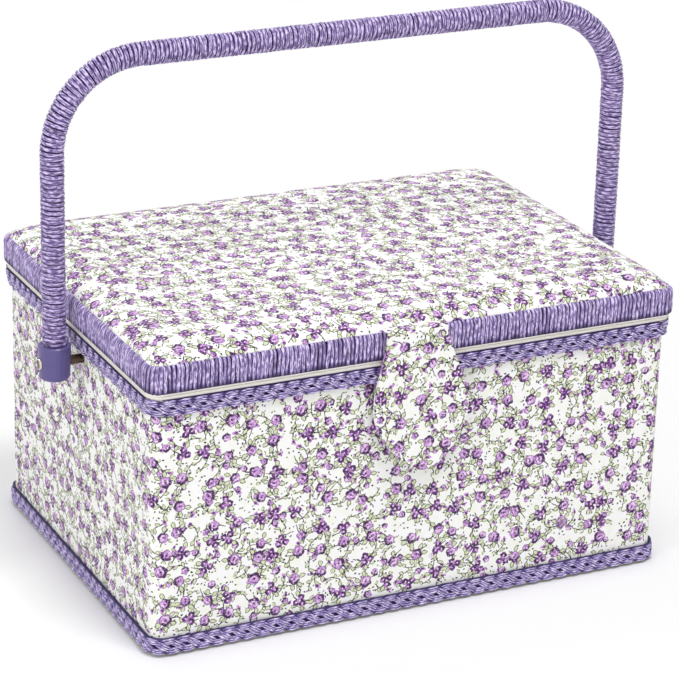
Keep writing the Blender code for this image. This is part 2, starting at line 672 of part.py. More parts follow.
def build_cap(side, sign, looks):
    """The moulded cap on a handle end: a socket above for the winding, a cross hole for the screw
    and a flat spot face on each side of it."""
    centre = (sign * HALF_HANDLE_SPAN, PIVOT_Y, PIVOT_HEIGHT)
    top, foot = CAP_ABOVE_PIVOT, -CAP_BELOW_PIVOT
    edge = CAP_EDGE
    profile = ((foot, CAP_FOOT_RADIUS - edge), (foot + edge * CAP_ROUND_SHARE, CAP_FOOT_RADIUS - edge / 2),
               (foot + edge, CAP_FOOT_RADIUS), (top - edge / 2, CAP_RADIUS), (top, CAP_RADIUS - edge / 2),
               (top, SOCKET_RADIUS), (CAP_SOCKET_FLOOR, SOCKET_RADIUS))
    cap = turned("handle_cap_" + side, centre, "Z", profile, looks["moulding"], steps=CAP_STEPS)
    cap.data.update()
    reach = CAP_RADIUS + CUT_OVERRUN
    hole = turned("cap_hole_" + side, centre, "X", ((-reach, BORE_RADIUS), (reach, BORE_RADIUS)),
                  looks["moulding"], steps=ROUND_STEPS)
    cut(cap, hole)
    flat = CAP_RADIUS - SPOT_FACE_DEPTH
    for place, way, radius in (("inner", -sign, SPACER_RADIUS), ("outer", sign, SCREW_HEAD_RADIUS)):
        face = turned("cap_face_" + place + "_" + side, centre, "X",
                      ((way * flat, radius + SEAT_GAP), (way * reach, radius + SEAT_GAP)),
                      looks["moulding"], steps=ROUND_STEPS)
        cut(cap, face)
    return cap


def build_pivot(side, sign, pieces, looks):
    """The screw that carries one handle end, the sleeve that holds the cap off the wall, and the
    washer and domed nut inside the box."""
    outer_flat = sign * (HALF_HANDLE_SPAN + CAP_RADIUS - SPOT_FACE_DEPTH)
    inner_flat = sign * (HALF_HANDLE_SPAN - CAP_RADIUS + SPOT_FACE_DEPTH)
    wall_face = sign * HALF_LENGTH
    lining_face = sign * (HALF_LENGTH - LINING_INNER)
    axis = (0, PIVOT_Y, PIVOT_HEIGHT)
    washer_start = lining_face - sign * SEAT_GAP
    washer_end = washer_start - sign * WASHER_THICKNESS
    nut_start = washer_end - sign * SEAT_GAP
    nut_end = nut_start - sign * NUT_THICKNESS
    thread_end = nut_end + sign * NUT_CROWN
    head_seat = outer_flat + sign * SEAT_GAP
    dome = [(head_seat + sign * SCREW_HEAD_HEIGHT * rise, SCREW_HEAD_RADIUS * spread)
            for rise, spread in HEAD_SHARES]
    screw = turned("pivot_screw_" + side, axis, "X",
                   [(thread_end, SHANK_RADIUS), (head_seat, SHANK_RADIUS)] + dome, looks["metal"])
    spacer = turned("spacer_" + side, axis, "X",
                    ((wall_face + sign * SEAT_GAP, BORE_RADIUS), (wall_face + sign * SEAT_GAP, SPACER_RADIUS),
                     (inner_flat - sign * SEAT_GAP, SPACER_RADIUS), (inner_flat - sign * SEAT_GAP, BORE_RADIUS)),
                    looks["metal"], closed=True)
    washer = turned("washer_" + side, axis, "X",
                    ((washer_start, BORE_RADIUS), (washer_start, WASHER_RADIUS),
                     (washer_end, WASHER_RADIUS), (washer_end, BORE_RADIUS)),
                    looks["metal"], closed=True)
    nut_profile = ((nut_start, BORE_RADIUS), (nut_start, NUT_RADIUS),
                   (nut_start + (nut_end - nut_start) * NUT_FLAT_SHARE, NUT_RADIUS),
                   (nut_end, NUT_RADIUS * NUT_CROWN_SHARE), (nut_end, 0),
                   (thread_end - sign * SEAT_GAP, 0), (thread_end - sign * SEAT_GAP, BORE_RADIUS))
    nut = nut_body("nut_" + side, axis, nut_profile, looks["metal"])
    bore = turned("wall_bore_" + side, axis, "X",
                  ((lining_face - sign * CUT_OVERRUN, BORE_RADIUS), (wall_face + sign * CUT_OVERRUN, BORE_RADIUS)),
                  looks["metal"])
    for name in ("wall_" + side, "outer_cover", "lining_walls"):
        cut(pieces[name], bore)
    return screw, spacer, washer, nut


def nut_body(name, axis, profile, material):
    """A domed nut, turned from a profile whose closed end comes to a point on the axis."""
    shape = bmesh.new()
    rows = []
    for distance, radius in profile:
        centre = Vector(axis) + Vector((distance, 0, 0))
        if radius == 0:
            rows.append([shape.verts.new(centre)])
        else:
            rows.append([shape.verts.new(point) for point in circle(centre, "X", radius, ROUND_STEPS)])
    for low, high in zip(rows, rows[1:] + rows[:1]):
        for i in range(ROUND_STEPS):
            j = (i + 1) % ROUND_STEPS
            if len(low) == 1 and len(high) == 1:
                continue
            if len(low) == 1:
                shape.faces.new((low[0], high[j], high[i]))
            elif len(high) == 1:
                shape.faces.new((low[i], low[j], high[0]))
            else:
                shape.faces.new((low[i], low[j], high[j], high[i]))
    bmesh.ops.recalc_face_normals(shape, faces=shape.faces)
    mesh = bpy.data.meshes.new(name)
    shape.to_mesh(mesh)
    shape.free()
    return add_object(name, mesh, material)


def pocket_layout():
    """The tray's pockets, as the shares of its inside that each spans: one long pocket in front,
    three behind it and two at the back."""
    for near, far, stops in POCKET_SHARES:
        for left, right in zip(stops, stops[1:]):
            yield near, far, left, right


def build_tray(looks):
    """The moulded tray: a thin tub with a flange and drafted pockets with rounded floors."""
    half_x, half_y = TRAY_HALF_LENGTH, TRAY_HALF_WIDTH
    flange_foot = TRAY_TOP - TRAY_FLANGE_THICKNESS
    side = TRAY_FLANGE
    levels = ((TRAY_FOOT, side + TRAY_DRAFT), (flange_foot, side), (flange_foot, 0), (TRAY_TOP, 0))
    loops = [at_height(inset_outline(half_x, half_y, TRAY_CORNER, inset), height)
             for height, inset in levels]
    tray = loft("tray", loops, looks["moulded_tray"])
    inner = side + TRAY_WALL
    span_x, span_y = 2 * (half_x - inner), 2 * (half_y - inner)
    floor = TRAY_FOOT + TRAY_FLOOR
    for number, (near, far, left, right) in enumerate(pocket_layout()):
        low_x = -span_x / 2 + left * span_x + (TRAY_WALL / 2 if left > 0 else 0)
        high_x = -span_x / 2 + right * span_x - (TRAY_WALL / 2 if right < 1 else 0)
        low_y = -span_y / 2 + near * span_y + (TRAY_WALL / 2 if near > 0 else 0)
        high_y = -span_y / 2 + far * span_y - (TRAY_WALL / 2 if far < 1 else 0)
        centre_x, centre_y = (low_x + high_x) / 2, (low_y + high_y) / 2
        wide, deep = (high_x - low_x) / 2, (high_y - low_y) / 2
        cutter_loops = []
        for height, inset in ((floor, TRAY_DRAFT + POCKET_FILLET), (floor + POCKET_FILLET, TRAY_DRAFT),
                              (TRAY_TOP + CUT_OVERRUN, 0)):
            plan = inset_outline(wide, deep, POCKET_CORNER, inset)
            cutter_loops.append([(x + centre_x, y + centre_y, height) for x, y in plan])
        cut(tray, loft("tray_pocket_" + str(number), cutter_loops, looks["moulded_tray"]))
    return tray


def build_ledges(looks):
    """The two strips on the end walls that the tray stands on."""
    made = []
    for side, sign in (("left", -1), ("right", 1)):
        wall = HALF_LENGTH - LINING_INNER - SEAT_GAP
        edges = sorted((sign * wall, sign * (wall - LEDGE_WIDTH)))
        outline = [(edges[0], -LEDGE_LENGTH / 2), (edges[1], -LEDGE_LENGTH / 2),
                   (edges[1], LEDGE_LENGTH / 2), (edges[0], LEDGE_LENGTH / 2)]
        top = TRAY_FOOT - SEAT_GAP
        made.append(plate("tray_ledge_" + side, outline, top - LEDGE_THICKNESS, top, looks["lining"]))
    return made


def joint_empty(name, place, parent=None):
    """An empty on a joint's axis, which carries the pieces that turn there."""
    empty = bpy.data.objects.new(name, None)
    bpy.context.collection.objects.link(empty)
    empty.location = Vector(place)
    if parent is not None:
        empty.parent = parent
        empty.location = Vector(place) - parent.matrix_world.translation
    bpy.context.view_layer.update()
    return empty


def carry(empty, pieces):
    """Parents pieces to an empty and leaves them where they are."""
    for piece in pieces:
        piece.parent = empty
        piece.matrix_parent_inverse = empty.matrix_world.inverted()


def smooth(item):
    """Shades a piece smooth, with its sharp edges kept."""
    if item.type == "MESH":
        item.data.shade_smooth()
        item.data.set_sharp_from_angle(angle=math.radians(35))


def build():
    """Builds the whole basket."""
    clear_scene()
    looks = {
        "print": finish("printed_cotton", 0.82, 0.79, 0.84, 0.85),
        "cord": finish("lilac_cord", 0.30, 0.22, 0.48, 0.55),
        "binding": finish("cream_binding", 0.84, 0.79, 0.70, 0.8),
        "lining": finish("cream_satin", 0.86, 0.82, 0.74, 0.5),
        "board": finish("grey_board", 0.45, 0.42, 0.37, 0.9),
        "backing": finish("backing_paper", 0.80, 0.78, 0.74, 0.85),
        "foam": finish("white_foam", 0.85, 0.84, 0.78, 0.95),
        "moulding": finish("purple_moulding", 0.13, 0.10, 0.27, 0.4),
        "metal": finish("plated_steel", 0.62, 0.58, 0.5, 0.3, 1.0),
        "moulded_tray": finish("tray_moulding", 0.86, 0.84, 0.80, 0.35),
    }
    box = build_box(looks)
    build_body_binding(looks)
    build_braid("braid_top", WALL_TOP - BRAID_HEIGHT, looks)
    build_braid("braid_bottom", BRAID_FOOT, looks)
    build_ledges(looks)
    lower = build_hinge_cloth("hinge_cloth_body", HALF_WIDTH + BODY_BINDING_OVERHANG,
                              WALL_TOP + SEAT_GAP, BODY_TOP, looks)

    strip, winding = build_rim(looks)
    board, cover, pad = build_padded_top(looks)
    binding, lining, pincushion = build_lid_underside(looks)
    upper = build_hinge_cloth("hinge_cloth_lid", HALF_LID_WIDTH - LID_BINDING_INSET,
                              LID_FOOT, LID_FOOT + BINDING_HEIGHT, looks)
    tab_cover, tab_card, tab_lining, tab_magnet, _, tab_root = build_tab(looks)
    lid_axis = joint_empty("lid_axis", (0, HINGE_Y, PARTING_HEIGHT))
    carry(lid_axis, (strip, winding, board, cover, pad, binding, lining, pincushion, upper, tab_root))
    tab_axis = joint_empty("tab_axis", (TAB_CENTRE, TAB_HINGE_Y, TAB_HINGE_Z), lid_axis)
    carry(tab_axis, (tab_cover, tab_card, tab_lining, tab_magnet))

    handle_axis = joint_empty("handle_axis", (0, PIVOT_Y, PIVOT_HEIGHT))
    carry(handle_axis, (build_handle_core(looks), build_handle_winding(looks)))
    for side, sign in (("left", -1), ("right", 1)):
        carry(handle_axis, (build_cap(side, sign, looks),))
        build_pivot(side, sign, box, looks)
    tray_axis = joint_empty("tray_axis", (0, 0, TRAY_FOOT))
    carry(tray_axis, (build_tray(looks),))
    for item in bpy.data.objects:
        smooth(item)


build()
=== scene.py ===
import math

import bpy
import numpy as np
from mathutils import Matrix, Vector


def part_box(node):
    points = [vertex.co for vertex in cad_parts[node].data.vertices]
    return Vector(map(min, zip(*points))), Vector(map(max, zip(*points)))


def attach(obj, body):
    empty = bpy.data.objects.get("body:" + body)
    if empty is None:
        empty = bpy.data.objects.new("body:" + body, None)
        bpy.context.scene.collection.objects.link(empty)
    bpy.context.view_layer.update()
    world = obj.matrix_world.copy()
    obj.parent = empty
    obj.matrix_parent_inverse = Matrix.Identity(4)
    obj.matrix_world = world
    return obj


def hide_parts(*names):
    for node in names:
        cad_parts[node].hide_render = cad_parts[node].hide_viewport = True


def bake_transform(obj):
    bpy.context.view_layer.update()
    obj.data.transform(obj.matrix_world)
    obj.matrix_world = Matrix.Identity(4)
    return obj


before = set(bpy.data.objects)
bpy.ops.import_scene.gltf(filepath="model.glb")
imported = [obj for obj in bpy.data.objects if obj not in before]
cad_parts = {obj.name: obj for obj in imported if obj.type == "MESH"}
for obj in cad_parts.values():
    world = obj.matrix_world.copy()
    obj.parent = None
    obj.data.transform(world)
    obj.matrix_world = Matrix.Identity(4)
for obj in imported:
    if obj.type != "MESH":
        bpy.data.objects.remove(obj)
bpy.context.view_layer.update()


# Boards:
# The box, the lid and the tab are built on grey pressed board. Its cut faces show only inside the
# corners, and the card stays hidden once the cloth is glued on.

class Dye:
    """A value or colour on its way through a finish. Sums of dyes add their Math nodes."""

    def __init__(self, tree, socket=None):
        self.tree = tree
        self.socket = socket

    def node(self, kind, settings, sockets, output=0):
        """Adds a node of any kind. Its settings come first, then its sockets' values or links."""
        made = self.tree.nodes.new("ShaderNode" + kind)
        for name, value in settings.items():
            setattr(made, name, value)
        for name, value in sockets.items():
            if isinstance(value, Dye):
                self.tree.links.new(value.socket, made.inputs[name])
            else:
                made.inputs[name].default_value = value
        return Dye(self.tree, made.outputs[output])

    def math(self, operation, first, second=0.0):
        return self.node("Math", {"operation": operation}, {0: first, 1: second})

    def __add__(self, other):
        return self.math("ADD", self, other)

    def __sub__(self, other):
        return self.math("SUBTRACT", self, other)

    def __rsub__(self, other):
        return self.math("SUBTRACT", other, self)

    def __mul__(self, other):
        return self.math("MULTIPLY", self, other)

    def __truediv__(self, other):
        return self.math("DIVIDE", self, other)

    def __rtruediv__(self, other):
        return self.math("DIVIDE", other, self)

    def __mod__(self, other):
        return self.math("FLOORED_MODULO", self, other)

    def __abs__(self):
        return self.math("ABSOLUTE", self)

    __radd__ = __add__
    __rmul__ = __mul__

    def step(self, low, high):
        """0 before low, 1 after high and smooth between them. It falls where low is the larger."""
        return self.node("MapRange", {"interpolation_type": "SMOOTHSTEP"},
                         {"Value": self, "From Min": low, "From Max": high})

    def over(self, mask, colour):
        """This colour with another laid over it where the mask is 1."""
        return self.node("Mix", {"data_type": "RGBA"}, {0: mask, 6: self, 7: colour}, 2)

    def noise(self, place, size, detail=2.0, output=0):
        """Soft random cloud of a size in metres, between 0 and 1."""
        return self.node("TexNoise", {}, {"Vector": place, "Scale": 1 / size, "Detail": detail}, output)

    def stretched(self, x, y, z):
        """A place with each direction scaled."""
        return self.node("VectorMath", {"operation": "MULTIPLY"}, {0: self, 1: (x, y, z)})

    def into(self, shader, socket):
        self.tree.links.new(self.socket, shader.inputs[socket])


def shade(red, green, blue):
    """A colour as seen on screen, 0 to 255, turned into what the shader mixes."""
    parts = [level / 255 for level in (red, green, blue)]
    return tuple(p / 12.92 if p <= 0.04045 else ((p + 0.055) / 1.055) ** 2.4 for p in parts) + (1.0,)


def new_finish(name, colour, roughness, **fixed):
    """A finish with one plain shader, and the dye that starts its nodes."""
    made = bpy.data.materials.new(name)
    made.use_nodes = True
    shader = made.node_tree.nodes["Principled BSDF"]
    shader.inputs["Base Color"].default_value = colour
    shader.inputs["Roughness"].default_value = roughness
    for socket, value in fixed.items():
        shader.inputs[socket.replace("_", " ")].default_value = value
    return made, Dye(made.node_tree), shader


def bumped(dye, shader, height, depth, strength=1.0):
    """Raises the surface by a height of 0 to 1 times a depth in metres."""
    dye.node("Bump", {}, {"Height": height, "Distance": depth, "Strength": strength}).into(shader, "Normal")


def coat(finish, *nodes):
    """Gives carried-over solids their finish."""
    for name in nodes:
        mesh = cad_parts[name].data
        mesh.materials.clear()
        mesh.materials.append(finish)


board, dye, shader = new_finish("grey_board", shade(168, 160, 146), 0.92)
place = dye.node("TexCoord", {}, {}, "Object")
fibre = dye.noise(place, 0.0012, 5.0)
fleck = dye.noise(place, 0.006, 3.0)
pulp = dye.node("RGB", {}, {})
pulp.socket.default_value = shade(170, 162, 148)
pulp.over(fibre.step(0.35, 0.7), shade(146, 138, 124)).over(
    fleck.step(0.62, 0.7), shade(120, 110, 96)).into(shader, "Base Color")
bumped(dye, shader, fibre, 0.0002, 0.6)
coat(board, "base_board", "wall_front", "wall_back", "wall_left", "wall_right", "lid_board",
     "tab_card")


# Base:
# A sheet of stiff backing cloth is glued under the box, over the turned-in edges of the print.
# Its weave is coarse and a little rubbed where it stands.

backing, dye, shader = new_finish("backing_cloth", shade(222, 216, 208), 0.88)
place = dye.node("TexCoord", {}, {}, "Object")
across = dye.node("SeparateXYZ", {}, {0: place}, 0)
along = dye.node("SeparateXYZ", {}, {0: place}, 1)
thread = 0.0007


def woven(dye, first, second, pitch):
    """The rise and fall of a plain weave, between 0 and 1."""
    warp = dye.math("SINE", first * (math.pi / pitch))
    weft = dye.math("SINE", second * (math.pi / pitch))
    return warp * weft * 0.5 + 0.5


weave = woven(dye, across, along, thread)
rubbed = dye.noise(place, 0.03, 3.0)
plain = dye.node("RGB", {}, {})
plain.socket.default_value = shade(224, 218, 210)
plain.over(weave * 0.35, shade(186, 178, 168)).over(
    rubbed.step(0.55, 0.75) * 0.4, shade(196, 186, 176)).into(shader, "Base Color")
bumped(dye, shader, weave, 0.0002, 0.5)
coat(backing, "base_cover")


# Printed cotton on the walls:
# White cotton with a small all-over print of lilac roses, violets, leaves and stems. One strip is
# glued round the box, with its ends under the braid at the top and at the foot.

COTTON = shade(246, 245, 246)
COTTON_TINT = shade(240, 242, 226)
ROSE = shade(202, 152, 214)
ROSE_LIGHT = shade(236, 206, 240)
ROSE_DARK = shade(84, 22, 104)
VIOLET = shade(58, 5, 76)
VIOLET_LIGHT = shade(144, 66, 168)
EYE = shade(240, 214, 240)
LEAF = shade(220, 226, 190)
LEAF_EDGE = shade(70, 80, 48)
STEM = shade(32, 36, 28)


def oval(dye, x, y, centre, half_long, half_wide):
    """How far a place is from the middle of an oval, where its edge is 1."""
    across, along = (x - centre) / half_long, y / half_wide
    return dye.math("SQRT", across * across + along * along)


def scattered(dye, place, spacing, spread, shift):
    """Motif centres strewn over the cloth: the place in millimetres from the nearest one, turned
    by a chance angle, and that motif's chance numbers."""
    moved = dye.node("VectorMath", {"operation": "ADD"}, {0: place, 1: shift})
    cells = {"Vector": moved, "Scale": 1 / spacing, "Randomness": spread}
    centre = dye.node("TexVoronoi", {"voronoi_dimensions": "2D"}, cells, "Position")
    chance = dye.node("SeparateColor", {}, {
        0: dye.node("TexVoronoi", {"voronoi_dimensions": "2D"}, cells, "Color")}, 0)
    red, green, blue = (Dye(dye.tree, chance.socket.node.outputs[k]) for k in range(3))
    offset = dye.node("VectorMath", {"operation": "SUBTRACT"}, {0: moved, 1: centre})
    turned = dye.node("VectorRotate", {"rotation_type": "Z_AXIS"}, {
        "Vector": offset, "Angle": red * 6.283})
    parts = dye.node("SeparateXYZ", {}, {0: turned}, 0).socket.node
    return Dye(dye.tree, parts.outputs[0]), Dye(dye.tree, parts.outputs[1]), red, green, blue


def polar(dye, x, y):
    """Distance from a motif's centre and the angle round it."""
    return dye.math("SQRT", x * x + y * y), dye.math("ARCTAN2", y, x)


def folded(dye, reach, angle, count, chance):
    """A place turned into the first of a number of like sectors, so one petal draws them all, and
    a chance number for each sector."""
    sector = 2 * math.pi / count
    swung = angle + (20 * math.pi + 0.4)
    turn = swung % sector - sector / 2
    lot = dye.math("FRACT", dye.math("SINE", dye.math("FLOOR", swung / sector) * 12.99 + chance * 78.2) * 437.6)
    return reach * dye.math("COSINE", turn), reach * dye.math("SINE", turn), lot


def leaf(dye, cloth, x, y, half_long, half_wide, shown):
    """A pointed leaf along x, yellow green with a thin dark outline and midrib."""
    inside = abs(y) / half_wide + x * x / half_long ** 2
    cloth = cloth.over(inside.step(1.0, 0.86) * shown, LEAF)
    edge = inside.step(0.6, 0.82) * inside.step(1.16, 1.02)
    rib = abs(y).step(0.14, 0.04) * inside.step(0.9, 0.7) * 0.5
    return cloth.over(dye.math("MAXIMUM", edge, rib) * shown, LEAF_EDGE)


def rose(dye, cloth, reach, angle, radius, chance, cloud, curl, shown):
    """A loose round rose: lilac with pale patches, a dark crescent on one side and broken arcs."""
    inside = reach / (radius * (dye.math("SINE", angle * 5 + chance * 40) * 0.07 + 1.0))
    side = dye.math("SINE", angle + chance * 17)
    cloth = cloth.over(inside.step(1.05, 0.93) * shown, ROSE)
    cloth = cloth.over(cloud.step(0.46, 0.56) * inside.step(0.92, 0.78) * shown, ROSE_LIGHT)
    arcs = dye.math("SINE", reach * 2.7 + dye.math("SINE", angle * 2 + chance * 9) * 2.1)
    stroke = arcs.step(0.35, 0.75) * curl.step(0.44, 0.52) * inside.step(0.9, 0.8)
    crescent = side.step(-0.25, 0.35) * inside.step(0.42, 0.64) * inside.step(1.07, 0.98)
    rim = inside.step(0.82, 0.9) * inside.step(1.08, 1.0) * curl.step(0.58, 0.5)
    cloth = cloth.over(stroke * shown, ROSE_DARK).over(rim * shown * 0.85, ROSE_DARK)
    cloth = cloth.over(crescent * curl.step(0.34, 0.43) * shown, VIOLET)
    return cloth.over(inside.step(0.22, 0.14) * shown, VIOLET)


def violets(dye, cloth, reach, angle, count, chance, curl, shown):
    """A bunch of small violets: deep purple lobes, lilac on one side of each, and a pale eye."""
    x, y, lot = folded(dye, reach, angle, count, chance)
    near, round_it = polar(dye, x - 2.3, y)
    flower = near / (dye.math("SINE", round_it * 4 + chance * 30) * 0.16 + 2.05)
    side = dye.math("SINE", round_it + lot * 6.3)
    petals = cloth.over(flower.step(1.06, 0.92) * shown, VIOLET)
    lit = side.step(0.55, 0.85) * flower.step(0.98, 0.86) * flower.step(0.12, 0.3)
    petals = petals.over(lit * shown, ROSE)
    vein = curl.step(0.52, 0.58) * flower.step(0.3, 0.45) * flower.step(0.95, 0.8)
    return petals.over(vein * shown, VIOLET_LIGHT).over(flower.step(0.3, 0.2) * shown, EYE)


def printed(dye, shader):
    """The whole print, laid out in millimetres on the cloth's own flat map, with its weave."""
    flat = dye.node("UVMap", {"uv_map": "cloth"}, {})
    place = flat.stretched(1000, 1000, 0)
    wobble = dye.node("TexNoise", {}, {"Vector": place, "Scale": 0.5, "Detail": 1.0}, "Color")
    wobble = dye.node("VectorMath", {"operation": "SUBTRACT"}, {0: wobble, 1: (0.5, 0.5, 0.5)})
    place = dye.node("VectorMath", {"operation": "ADD"}, {0: place, 1: wobble.stretched(1.2, 1.2, 0)})
    cloud = dye.noise(place, 2.6, 1.0)
    curl = dye.noise(place, 1.1, 1.0)
    cloth = dye.node("RGB", {}, {})
    cloth.socket.default_value = COTTON
    cloth = cloth.over(dye.noise(place, 5.0, 1.0).step(0.42, 0.6) * 0.55, COTTON_TINT)

    drift = dye.noise(place, 7.0, 0.0)
    x, y, turn, size, chance = scattered(dye, place, 2.5, 1.0, (31, 7, 0))
    speck = oval(dye, x, y, 0.0, 0.72, 0.4).step(1.2, 0.8)
    cloth = cloth.over(speck * drift.step(0.46, 0.49) * size.step(0.35, 0.37), STEM)

    for spacing, shift in ((11.4, (3, 80, 0)), (12.8, (57, 13, 0))):
        x, y, turn, size, chance = scattered(dye, place, spacing, 0.7, shift)
        bend = y - x * x * 0.06 + 1.0
        stalk = abs(bend).step(0.4, 0.26) * abs(x).step(4.9, 4.6)
        near = (x + 15.2) % 3.8 - 1.9
        side = bend * dye.math("COSINE", dye.math("FLOOR", (x + 15.2) / 3.8) * math.pi) - 0.15
        slant_x, slant_y = near * 0.64 + side * 0.77 - 0.9, side * 0.64 - near * 0.77
        sprig = cloth.over(stalk, STEM)
        sprig = leaf(dye, sprig, slant_x, slant_y, 1.75, 1.05, abs(x).step(5.7, 5.6))
        tip_x = x - 4.9
        bud = oval(dye, tip_x, bend, 0.0, 1.45, 1.25)
        sprig = sprig.over(bud.step(1.08, 0.92), ROSE).over(
            oval(dye, tip_x, bend, -0.5, 0.75, 0.8).step(1.1, 0.85), ROSE_DARK)
        cloth = cloth.over(size.step(0.25, 0.26), sprig)

    x, y, turn, size, chance = scattered(dye, place, 12.0, 0.8, (19, 43, 0))
    reach, angle = polar(dye, x, y)
    cloth = rose(dye, cloth, reach, angle, size * 0.7 + 1.7, turn, cloud, curl, chance.step(0.35, 0.36))

    x, y, turn, size, chance = scattered(dye, place, 13.8, 0.62, (0, 0, 0))
    reach, angle = polar(dye, x, y)
    bend = y + x * x * 0.07
    stalk = abs(bend).step(0.4, 0.26) * x.step(1.0, 1.4) * x.step(8.0, 7.7)
    cloth = cloth.over(stalk, STEM)
    leaf_x, leaf_y, lot = folded(dye, reach, angle, 6, turn)
    cloth = leaf(dye, cloth, leaf_x - 5.0, leaf_y + (lot - 0.7) * 2.0, 2.1, 1.25, lot.step(0.5, 0.51))
    bunch = chance.step(0.58, 0.59)
    cloth = rose(dye, cloth, reach, angle, size * 0.8 + 2.8, turn, cloud, curl, 1 - bunch)
    cloth = violets(dye, cloth, reach, angle, 3, turn, curl, bunch)
    parts = dye.node("SeparateXYZ", {}, {0: flat}, 0).socket.node
    u, v = Dye(dye.tree, parts.outputs[0]), Dye(dye.tree, parts.outputs[1])
    weave = woven(dye, u, v, 0.0004)
    slub = dye.noise(flat.stretched(1, 9, 0), 0.006, 3.0)
    cloth.over(weave * 0.06, shade(170, 164, 176)).into(shader, "Base Color")
    (slub * 0.14 + 0.72).into(shader, "Roughness")
    bumped(dye, shader, weave * 0.6 + slub * 0.4, 0.00012, 0.5)


print_cotton, dye, shader = new_finish("printed_cotton", COTTON, 0.8, Sheen_Weight=0.15,
                                       Specular_IOR_Level=0.3)
printed(dye, shader)

BOX_HALF_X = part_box("outer_cover")[1][0]
BOX_HALF_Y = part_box("outer_cover")[1][1]
BOX_CORNER = 0.008


def edge_walk(half_x, half_y, radius, places):
    """Points round a rectangle with round corners, at distances walked anticlockwise from the
    middle of its back edge, with the outward direction at each."""
    xs, ys, turns = [0.0], [half_y], [90.0]
    for k, (side_x, side_y) in enumerate(((-1, 1), (-1, -1), (1, -1), (1, 1))):
        for step in range(17):
            turn = 90 + 90 * k + 90 * step / 16
            xs.append(side_x * (half_x - radius) + radius * math.cos(math.radians(turn)))
            ys.append(side_y * (half_y - radius) + radius * math.sin(math.radians(turn)))
            turns.append(turn)
    xs.append(0.0)
    ys.append(half_y)
    turns.append(450.0)
    marks = np.concatenate(([0.0], np.cumsum(np.hypot(np.diff(xs), np.diff(ys)))))
    at = np.mod(places, marks[-1])
    turn = np.radians(np.interp(at, marks, turns))
    points = np.stack((np.interp(at, marks, xs), np.interp(at, marks, ys)), axis=-1)
    return points, np.stack((np.cos(turn), np.sin(turn)), axis=-1), marks[-1]


def skin(name, points, flat, finish, closed_rows=False, closed_columns=False, caps=False):
    """A mesh over a grid of points, with its flat map in metres. Closed rows join the last row to
    the first, and caps fill the two end rows."""
    rows, columns = points.shape[:2]
    row = np.arange(rows if closed_rows else rows - 1)
    column = np.arange(columns if closed_columns else columns - 1)
    r, c = np.meshgrid(row, column, indexing="ij")
    below, right = (r + 1) % rows, (c + 1) % columns
    quads = np.stack((r * columns + c, r * columns + right, below * columns + right,
                      below * columns + c), axis=-1).reshape(-1, 4)
    u, v = flat
    corner_u = np.stack((u[r, c], u[r, np.minimum(c + 1, u.shape[1] - 1)],
                         u[np.minimum(r + 1, u.shape[0] - 1), np.minimum(c + 1, u.shape[1] - 1)],
                         u[np.minimum(r + 1, u.shape[0] - 1), c]), axis=-1).reshape(-1)
    corner_v = np.stack((v[r, c], v[r, np.minimum(c + 1, v.shape[1] - 1)],
                         v[np.minimum(r + 1, v.shape[0] - 1), np.minimum(c + 1, v.shape[1] - 1)],
                         v[np.minimum(r + 1, v.shape[0] - 1), c]), axis=-1).reshape(-1)
    faces = quads.tolist()
    if caps:
        faces += [list(range(columns))[::-1], list(range((rows - 1) * columns, rows * columns))]
    mesh = bpy.data.meshes.new(name)
    mesh.from_pydata(points.reshape(-1, 3).tolist(), [], faces)
    layer = mesh.uv_layers.new(name="cloth")
    loops = np.zeros((len(mesh.loops), 2))
    loops[:len(corner_u), 0], loops[:len(corner_v), 1] = corner_u, corner_v
    if caps:
        loops[len(corner_u):] = (u[0, 0], v[0, 0])
    layer.data.foreach_set("uv", loops.reshape(-1).astype(np.float32))
    mesh.materials.append(finish)
    mesh.shade_smooth()
    made = bpy.data.objects.new(name, mesh)
    bpy.context.scene.collection.objects.link(made)
    return made


_, _, BOX_GIRTH = edge_walk(BOX_HALF_X, BOX_HALF_Y, BOX_CORNER, np.zeros(1))
BOX_BEND = BOX_CORNER * math.pi / 2
corner_marks = [BOX_HALF_X - BOX_CORNER + BOX_BEND / 2]
for reach in (BOX_HALF_Y, BOX_HALF_X, BOX_HALF_Y):
    corner_marks.append(corner_marks[-1] + 2 * (reach - BOX_CORNER) + BOX_BEND)
foot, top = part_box("outer_cover")[0][2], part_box("outer_cover")[1][2]
for k, side in enumerate(("left", "front", "right", "back")):
    start = corner_marks[k]
    end = corner_marks[(k + 1) % 4] + (BOX_GIRTH if k == 3 else 0)
    bend = np.linspace(0, BOX_BEND / 2, 9)
    marks = np.concatenate((start + bend, np.linspace(start, end, 60)[2:-2], end - bend[::-1]))
    heights = np.linspace(foot, top, 34)
    points, outward, _ = edge_walk(BOX_HALF_X, BOX_HALF_Y, BOX_CORNER, marks)
    tone = np.sin(marks * 41)[None, :] * np.sin(heights * 63 + 1)[:, None] * 0.00012
    grid = np.zeros((len(heights), len(marks), 3))
    grid[..., :2] = points[None] + outward[None] * tone[..., None]
    grid[..., 2] = heights[:, None]
    flat = np.broadcast_to(marks[None], grid.shape[:2]), np.broadcast_to(heights[:, None], grid.shape[:2])
    wall = skin("print_" + side, grid, flat, print_cotton)
    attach(wall, "basket")
    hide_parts("outer_cover")


# Plaited braids:
# A flat braid of five strands, each of three thin cords, covers the raw edges of the print at the
# top and at the foot of the box. It is glued all round, and its ends meet at the back.

